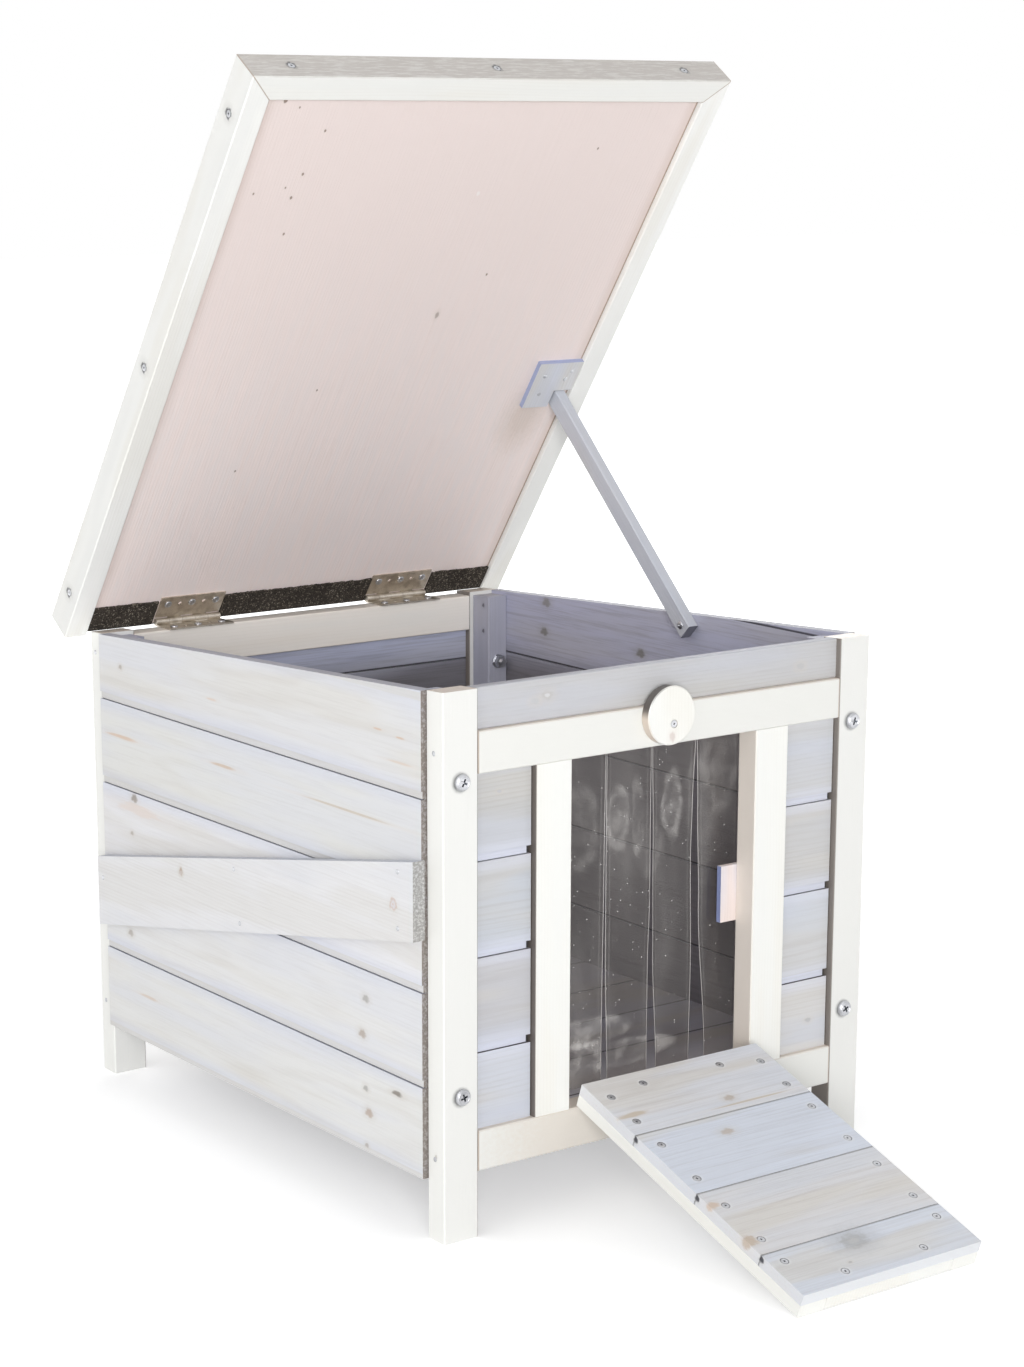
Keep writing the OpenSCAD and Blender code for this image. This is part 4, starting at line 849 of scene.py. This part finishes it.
# One fastener, as long as given under its head
def fastener(kind, long):
    size = fasteners[kind]
    head, high, shank = size["head"], size["high"], size["shank"]
    if kind == "cornerBolt":  # a round rim about a flat, slightly sunk middle
        flat, rim = high * 0.72, high * 0.82
        profile = [(0, flat), (head * 0.64, flat), (head * 0.7, rim), (head * 0.78, rim),
                   (head * 0.92, high * 0.6), (head, high * 0.25), (head, 0), (shank, 0)]
        high = flat
    elif high:  # a domed head
        turned = [(head * sin(a), high * (0.38 + 0.62 * cos(a)))
                  for a in (0, 0.35, 0.7, 1.0, 1.25, 1.45, pi / 2)]
        profile = turned + [(head, 0.25), (head - 0.25, 0), (shank, 0)]
    else:  # a flat head, countersunk
        profile = [(0, -0.1), (head * 0.75, -0.02), (head, -0.15), (head, -0.4),
                   (shank, -0.4 - (head - shank))]
    if "thread" in size:
        z = size["thread"] - long
        while z > 1.5 * thread["pitch"] - long:
            profile += [(shank, z), (shank - thread["deep"], z - thread["pitch"] / 2)]
            z -= thread["pitch"]
        profile += [(shank - thread["point"], -long), (0, -long)]
    else:
        profile += [(shank, 2 - long), (0.05, -long), (0, -long)]
    bm = lathe(profile, size["steps"])
    if "slot" in size:
        bm = cutOut(bm, crossSlots(high, size["slot"], size["reach"], size["depth"], 0.3))
    # The recess walls of bolts and flat screws get the recessShade material, painted shade
    if "slot" in size and kind != "roundScrew":
        for face in bm.faces:  # the walls of the recess get the second material
            middle = face.calc_center_median()
            inside = high - size["depth"] - 0.1 < middle.z < high - 0.05
            near = middle.xy.length < size["reach"] * 0.52
            face.material_index = int(inside and near and abs(face.normal.z) < 0.9)
    return bm


# Where the fasteners sit: each a place and the direction that its head faces
boltSpots = [((x, y, z), (0, out, 0)) for x in (-184, 184)
             for y, out, heights in ((0, -1, (109, 339)), (503, 1, (109, 318))) for z in heights]
leafX = [hinge + screw for hinge in (-106, 106) for screw in (-23, 0, 23)]
rampLeafX = [hinge + screw for hinge in (-36, 36) for screw in (-12, 12)]
frameNails = [((side * 200, y, z), (side, 0, 0)) for side in (-1, 1) for y, z in (
    (11, 62.3), (11, 359.6), (495.4, 62.3), (495.4, 360.825))]
# The sign board's lower edge: where it starts, its height there, and its slope to the back
signStart, signLow, signSlope = 17.2, 224.5, (135.5 - 224.5) / 459.6
signNails = [((-214, signStart + run, signLow + signSlope * run + up), (-1, 0, 0))
             for run, up in ((19, 51.2), (19, 9.7), (241.75, 50), (234.4, 7), (451.1, 40))]
stopNails = [((98.5, 24.5, 192 + part * 44), (0, 1, 0)) for part in (0.27, 0.73)]
lidStripSpots = [((side * lidHalf, lidBack - along, lidTop), (side, 0, 0))
                 for side in (-1, 1) for along in lidAlong]
lidStripSpots += [((x, lidFront, lidTop), (0, -1, 0)) for x in lidAcross]
plankSpots = [((side * x, 22.15, z), (0, 1, 0)) for side in (-1, 1) for x, z in rampHeads]
bracketSpots = [((x, y, -0.9), (0, 0, -1)) for x, y in (
    (192, -247), (188, -239), (167, -224), (165, -243))]
# Each set of fasteners: its name, the body it rides on, (kind, length, spots) and what it replaces
sets = [
    ("cornerBolts", "house", [("cornerBolt", 52.7, boltSpots)], ["corner_bolts"]),
    ("railHingeScrews", "house", [
        ("roundScrew", 12, [((x, 488.8, 375.925), (0, 0, 1)) for x in leafX]),
        ("roundScrew", 9, [((x, -1.05, 67.8), (0, -1, 0)) for x in rampLeafX])],
     ["hinge_screws"]),
    ("lidHingeScrews", "lid", [
        ("roundScrew", 12, [((x, -17.5, 2.1), (0, 0, -1)) for x in leafX])],
     ["lid_hinge_screws"]),
    ("lidStripScrews", "lid", [("flatScrew", 34, lidStripSpots)], ["lid_screws"]),
    ("rampScrews", "ramp", [
        ("flatScrew", 17.5, plankSpots),
        ("roundScrew", 9, [((x, 1.65, 13), (0, -1, 0)) for x in rampLeafX])],
     ["ramp_screws"]),
    ("frameNails", "house", [
        ("nail", 45, frameNails), ("nail", 18, signNails), ("nail", 16.5, stopNails)],
     ["nails"]),
    ("buttonScrew", "house", [
        ("flatScrew", 18.5, [((-0.5, -8.8, 360.1), (0, -1, 0))])], ["turn_button_screw"]),
    ("stayScrew", "house", [
        ("roundScrew", 19, [((183.6, 206, 384.98), (-1, 0, 0))])], ["stay_screw"]),
    ("bracketNails", "lid", [("nail", 3.5, bracketSpots)], []),
]
for name, body, groups, replaced in sets:
    total = bmesh.new()
    for kind, length, spots in groups:
        mesh = toMesh("part", copies(fastener(kind, length), spots))
        total.from_mesh(mesh)
        bpy.data.meshes.remove(mesh)
    makePiece(name, total, body, body, ["zincPlate", "recessShade"], replaced)
print("fasteners made")


# Where an edge is at a height, eased between its points
def follow(points, z):
    for (z0, x0), (z1, x1) in zip(points, points[1:]):
        if z >= z1:
            part = (z0 - z) / (z0 - z1)
            part = part * part * (3 - 2 * part) if len(points) > 2 else part
            return x0 + (x1 - x0) * part
    return points[-1][1]


def makeStrip(number, strip):
    bm = bmesh.new()
    bmesh.ops.create_grid(bm, x_segments=30, y_segments=60, size=0.5)
    margin = bm.verts.layers.float.new("margin")
    for vert in bm.verts:
        across, down = vert.co.x + 0.5, 0.5 - vert.co.y
        vert[margin] = curtain["wide"] * min(across, 1 - across)
        z = curtain["top"] + (curtain["low"] - curtain["top"]) * down
        left, right = follow(strip["left"], z), follow(strip["right"], z)
        swell = strip["bow"] * sin(pi * across) * sin(pi * min(1, down * 1.05)) ** 2
        wave = noise.noise(Vector((across * 0.9 + number * 7, down * 2.5, 0.3)))
        out = (swell + curtain["ripple"] * wave) * min(1, down * 8)
        vert.co = Vector((left + (right - left) * across, curtain["deep"] + out, z))
    bmesh.ops.solidify(bm, geom=bm.faces[:], thickness=curtain["thick"])
    bmesh.ops.translate(bm, vec=(0, curtain["back"], 0), verts=bm.verts)
    makePiece("stripCurtain%d" % number, bm, "house", "flap_strip_%d" % number, ["clearVinyl"],
              ["flap_strip_%d" % number], sharp=60)


def makeHeader(header):
    bm = bmesh.new()
    bmesh.ops.create_grid(bm, x_segments=60, y_segments=4, size=0.5)
    margin = bm.verts.layers.float.new("margin")
    for vert in bm.verts:
        vert[margin] = header["margin"]
        x = header["left"] + header["wide"] * (vert.co.x + 0.5)
        z = header["low"] + header["high"] * (vert.co.y + 0.5)
        vert.co = Vector((x, header["deep"], z))
    bmesh.ops.solidify(bm, geom=bm.faces[:], thickness=curtain["thick"])
    makePiece("stripCurtainHeader", bm, "house", "house", ["clearVinyl"],
              ["flap_header"], sharp=60)


for number, strip in enumerate(curtain["strips"], 1):
    makeStrip(number, strip)
makeHeader(curtain["header"])
print("strip curtain made")


# Roofing felt: over the top, round the back edge and turned in under it with a torn edge.
# "inner" is the torn edge, "fold" the fold's size, "rise" the height of a row up the back edge,
# "torn" how ragged the edge is, "hinge" how far out each hinge is and "leaf" how far from its
# middle the felt is cut away. The felt is drawn in rows along the lid and in steps across it.
felt = {"half": 200.5, "thick": 1.9, "front": -515.4, "back": 3.35, "top": 18.35, "under": 3.35,
        "inner": -21.4, "fold": 1.4, "rise": 3.2, "rowsUnder": 18, "rowsTop": 40, "tornRows": 3,
        "torn": 1.3, "lumps": 0.16, "step": 1.4, "hinge": 106, "leaf": 31.5}


# The felt's path from its torn edge to the front: (along the lid, height)
def feltPath():
    inner, fold = felt["inner"], felt["fold"]
    back, under, top = felt["back"], felt["under"], felt["top"]
    path = [(inner + i / felt["rowsUnder"] * (back - 1.1 - inner), under)
            for i in range(felt["rowsUnder"] + 1)]
    path += [(back - 0.35, under + 0.45), (back, under + fold)]
    path += [(back, under + fold + i * felt["rise"]) for i in (1, 2, 3, 4)]
    path += [(back - 0.4, top - 0.4), (back - fold, top)]
    path += [(back - fold - (back - fold - felt["front"]) * i / felt["rowsTop"], top)
             for i in range(1, felt["rowsTop"] + 1)]
    return path


def makeFelt():
    path = feltPath()
    columns = int(2 * felt["half"] / felt["step"])
    bm = bmesh.new()
    bmesh.ops.create_grid(bm, x_segments=columns, y_segments=len(path) - 1, size=0.5)
    doomed = []
    for vert in bm.verts:
        row = round((vert.co.y + 0.5) * (len(path) - 1))
        x = 2 * felt["half"] * vert.co.x
        y, z = path[row]
        if row < felt["tornRows"]:
            tear = noise.noise(Vector((x * 0.09, 0, 1)))
            tear += 0.6 * noise.noise(Vector((x * 0.45, 0, 4)))
            y += felt["torn"] * tear * (1 - row / felt["tornRows"])
        if row <= felt["rowsUnder"]:
            z += felt["lumps"] * noise.noise(Vector((x * 0.8, y * 0.8, 2)))
            if min(abs(x - felt["hinge"]), abs(x + felt["hinge"])) < felt["leaf"]:
                doomed.append(vert)
        vert.co = Vector((x, y, z))
    bmesh.ops.delete(bm, geom=doomed, context="VERTS")
    bmesh.ops.solidify(bm, geom=bm.faces[:], thickness=felt["thick"])
    makePiece("roofFelt", bm, "lid", "lid", ["roofingFelt"], ["lid_felt"],
              sharp=50)


makeFelt()
print("roofing felt made")

# The floor's half width and how much it is lifted to white near the house and far from it, the
# world's level, what the lamps aim at, and each soft lamp
stage = {"half": 14, "liftNear": 0.38, "liftFar": 1.0, "near": 0.6, "far": 1.4, "world": 0.45,
         "aim": (0, 0, 0.35),
         "lamps": {"key": {"at": (-3.9, -1.8, 3.1), "size": 3.3, "power": 34},
                   "front": {"at": (-2.6, -4.2, 1.1), "size": 1.8, "power": 146},
                   "top": {"at": (0.3, 0.2, 3.2), "size": 2.4, "power": 4},
                   "back": {"at": (3.2, 3.6, 2.0), "size": 2.4, "power": 60}}}


# 1 where the camera, a mirror or clear sheet looks straight at the stage
def seenDirectly(add):
    path = add("ShaderNodeLightPath").outputs
    other = add("MAXIMUM", path["Is Glossy Ray"], path["Is Transmission Ray"])
    return add("MAXIMUM", path["Is Camera Ray"], other)


def makeStage():
    material, add = newMaterial("paleStudioFloor")
    vector = add("ShaderNodeTexCoord").outputs["Object"]
    tone = add("mix", add("grain", vector, 3.0), "#F6F6F6", "#F9F9F9")
    matt = add("ShaderNodeBsdfDiffuse", {"Color": tone})
    lift = add("spread", add("length", vector), stage["near"], stage["far"],
               stage["liftNear"], stage["liftFar"])
    level = add("MULTIPLY", seenDirectly(add), lift)
    glow = add("ShaderNodeEmission", {"Color": (1, 1, 1, 1), "Strength": level})
    close(add, add("ShaderNodeAddShader", {0: matt, 1: glow}))
    bm = bmesh.new()
    bmesh.ops.create_grid(bm, x_segments=8, y_segments=8, size=stage["half"])
    mesh = toMesh("studioFloor", bm)
    mesh.materials.append(material)
    floor = toScene("studioFloor", mesh)


def makeLights():
    world = bpy.data.worlds.new("studio")
    world.use_nodes = True
    scene.world = world
    world.node_tree.nodes.clear()
    add = adder(world.node_tree)
    level = add("MULTIPLY", seenDirectly(add), 1 - stage["world"])
    level = add("ADD", level, stage["world"])
    back = add("ShaderNodeBackground", {"Color": (1, 1, 1, 1), "Strength": level})
    add("ShaderNodeOutputWorld", {"Surface": back})
    for name, lamp in stage["lamps"].items():
        light = bpy.data.lights.new(name, "AREA")
        light.size = lamp["size"]
        light.energy = lamp["power"]
        holder = toScene(name, light)
        holder.location = lamp["at"]
        aim = Vector(stage["aim"]) - Vector(lamp["at"])
        holder.rotation_euler = aim.to_track_quat("-Z", "Y").to_euler()


# The camera of the picture: its place in metres from the house's front, and its turn in degrees
cameraSetup = {"lens": 77.08, "sensor": 36, "shift": (0.0220, 0.1011),
               "at": (-1.33864, -1.61338, 0.78513), "turn": (76.56, -0.01, -35.99)}


def makeCamera():
    camera = bpy.data.cameras.new("camera")
    camera.lens = cameraSetup["lens"]
    camera.sensor_width = cameraSetup["sensor"]
    camera.shift_x, camera.shift_y = cameraSetup["shift"]
    camera.clip_start = 0.1
    camera.dof.use_dof = False
    holder = toScene("camera", camera)
    x, y, z = cameraSetup["at"]
    holder.location = (x, yFront + y, z)
    holder.rotation_euler = [radians(angle) for angle in cameraSetup["turn"]]
    scene.camera = holder


makeStage()
makeLights()
makeCamera()
scene.view_settings.view_transform = "Standard"
print("floor, lights and camera made")
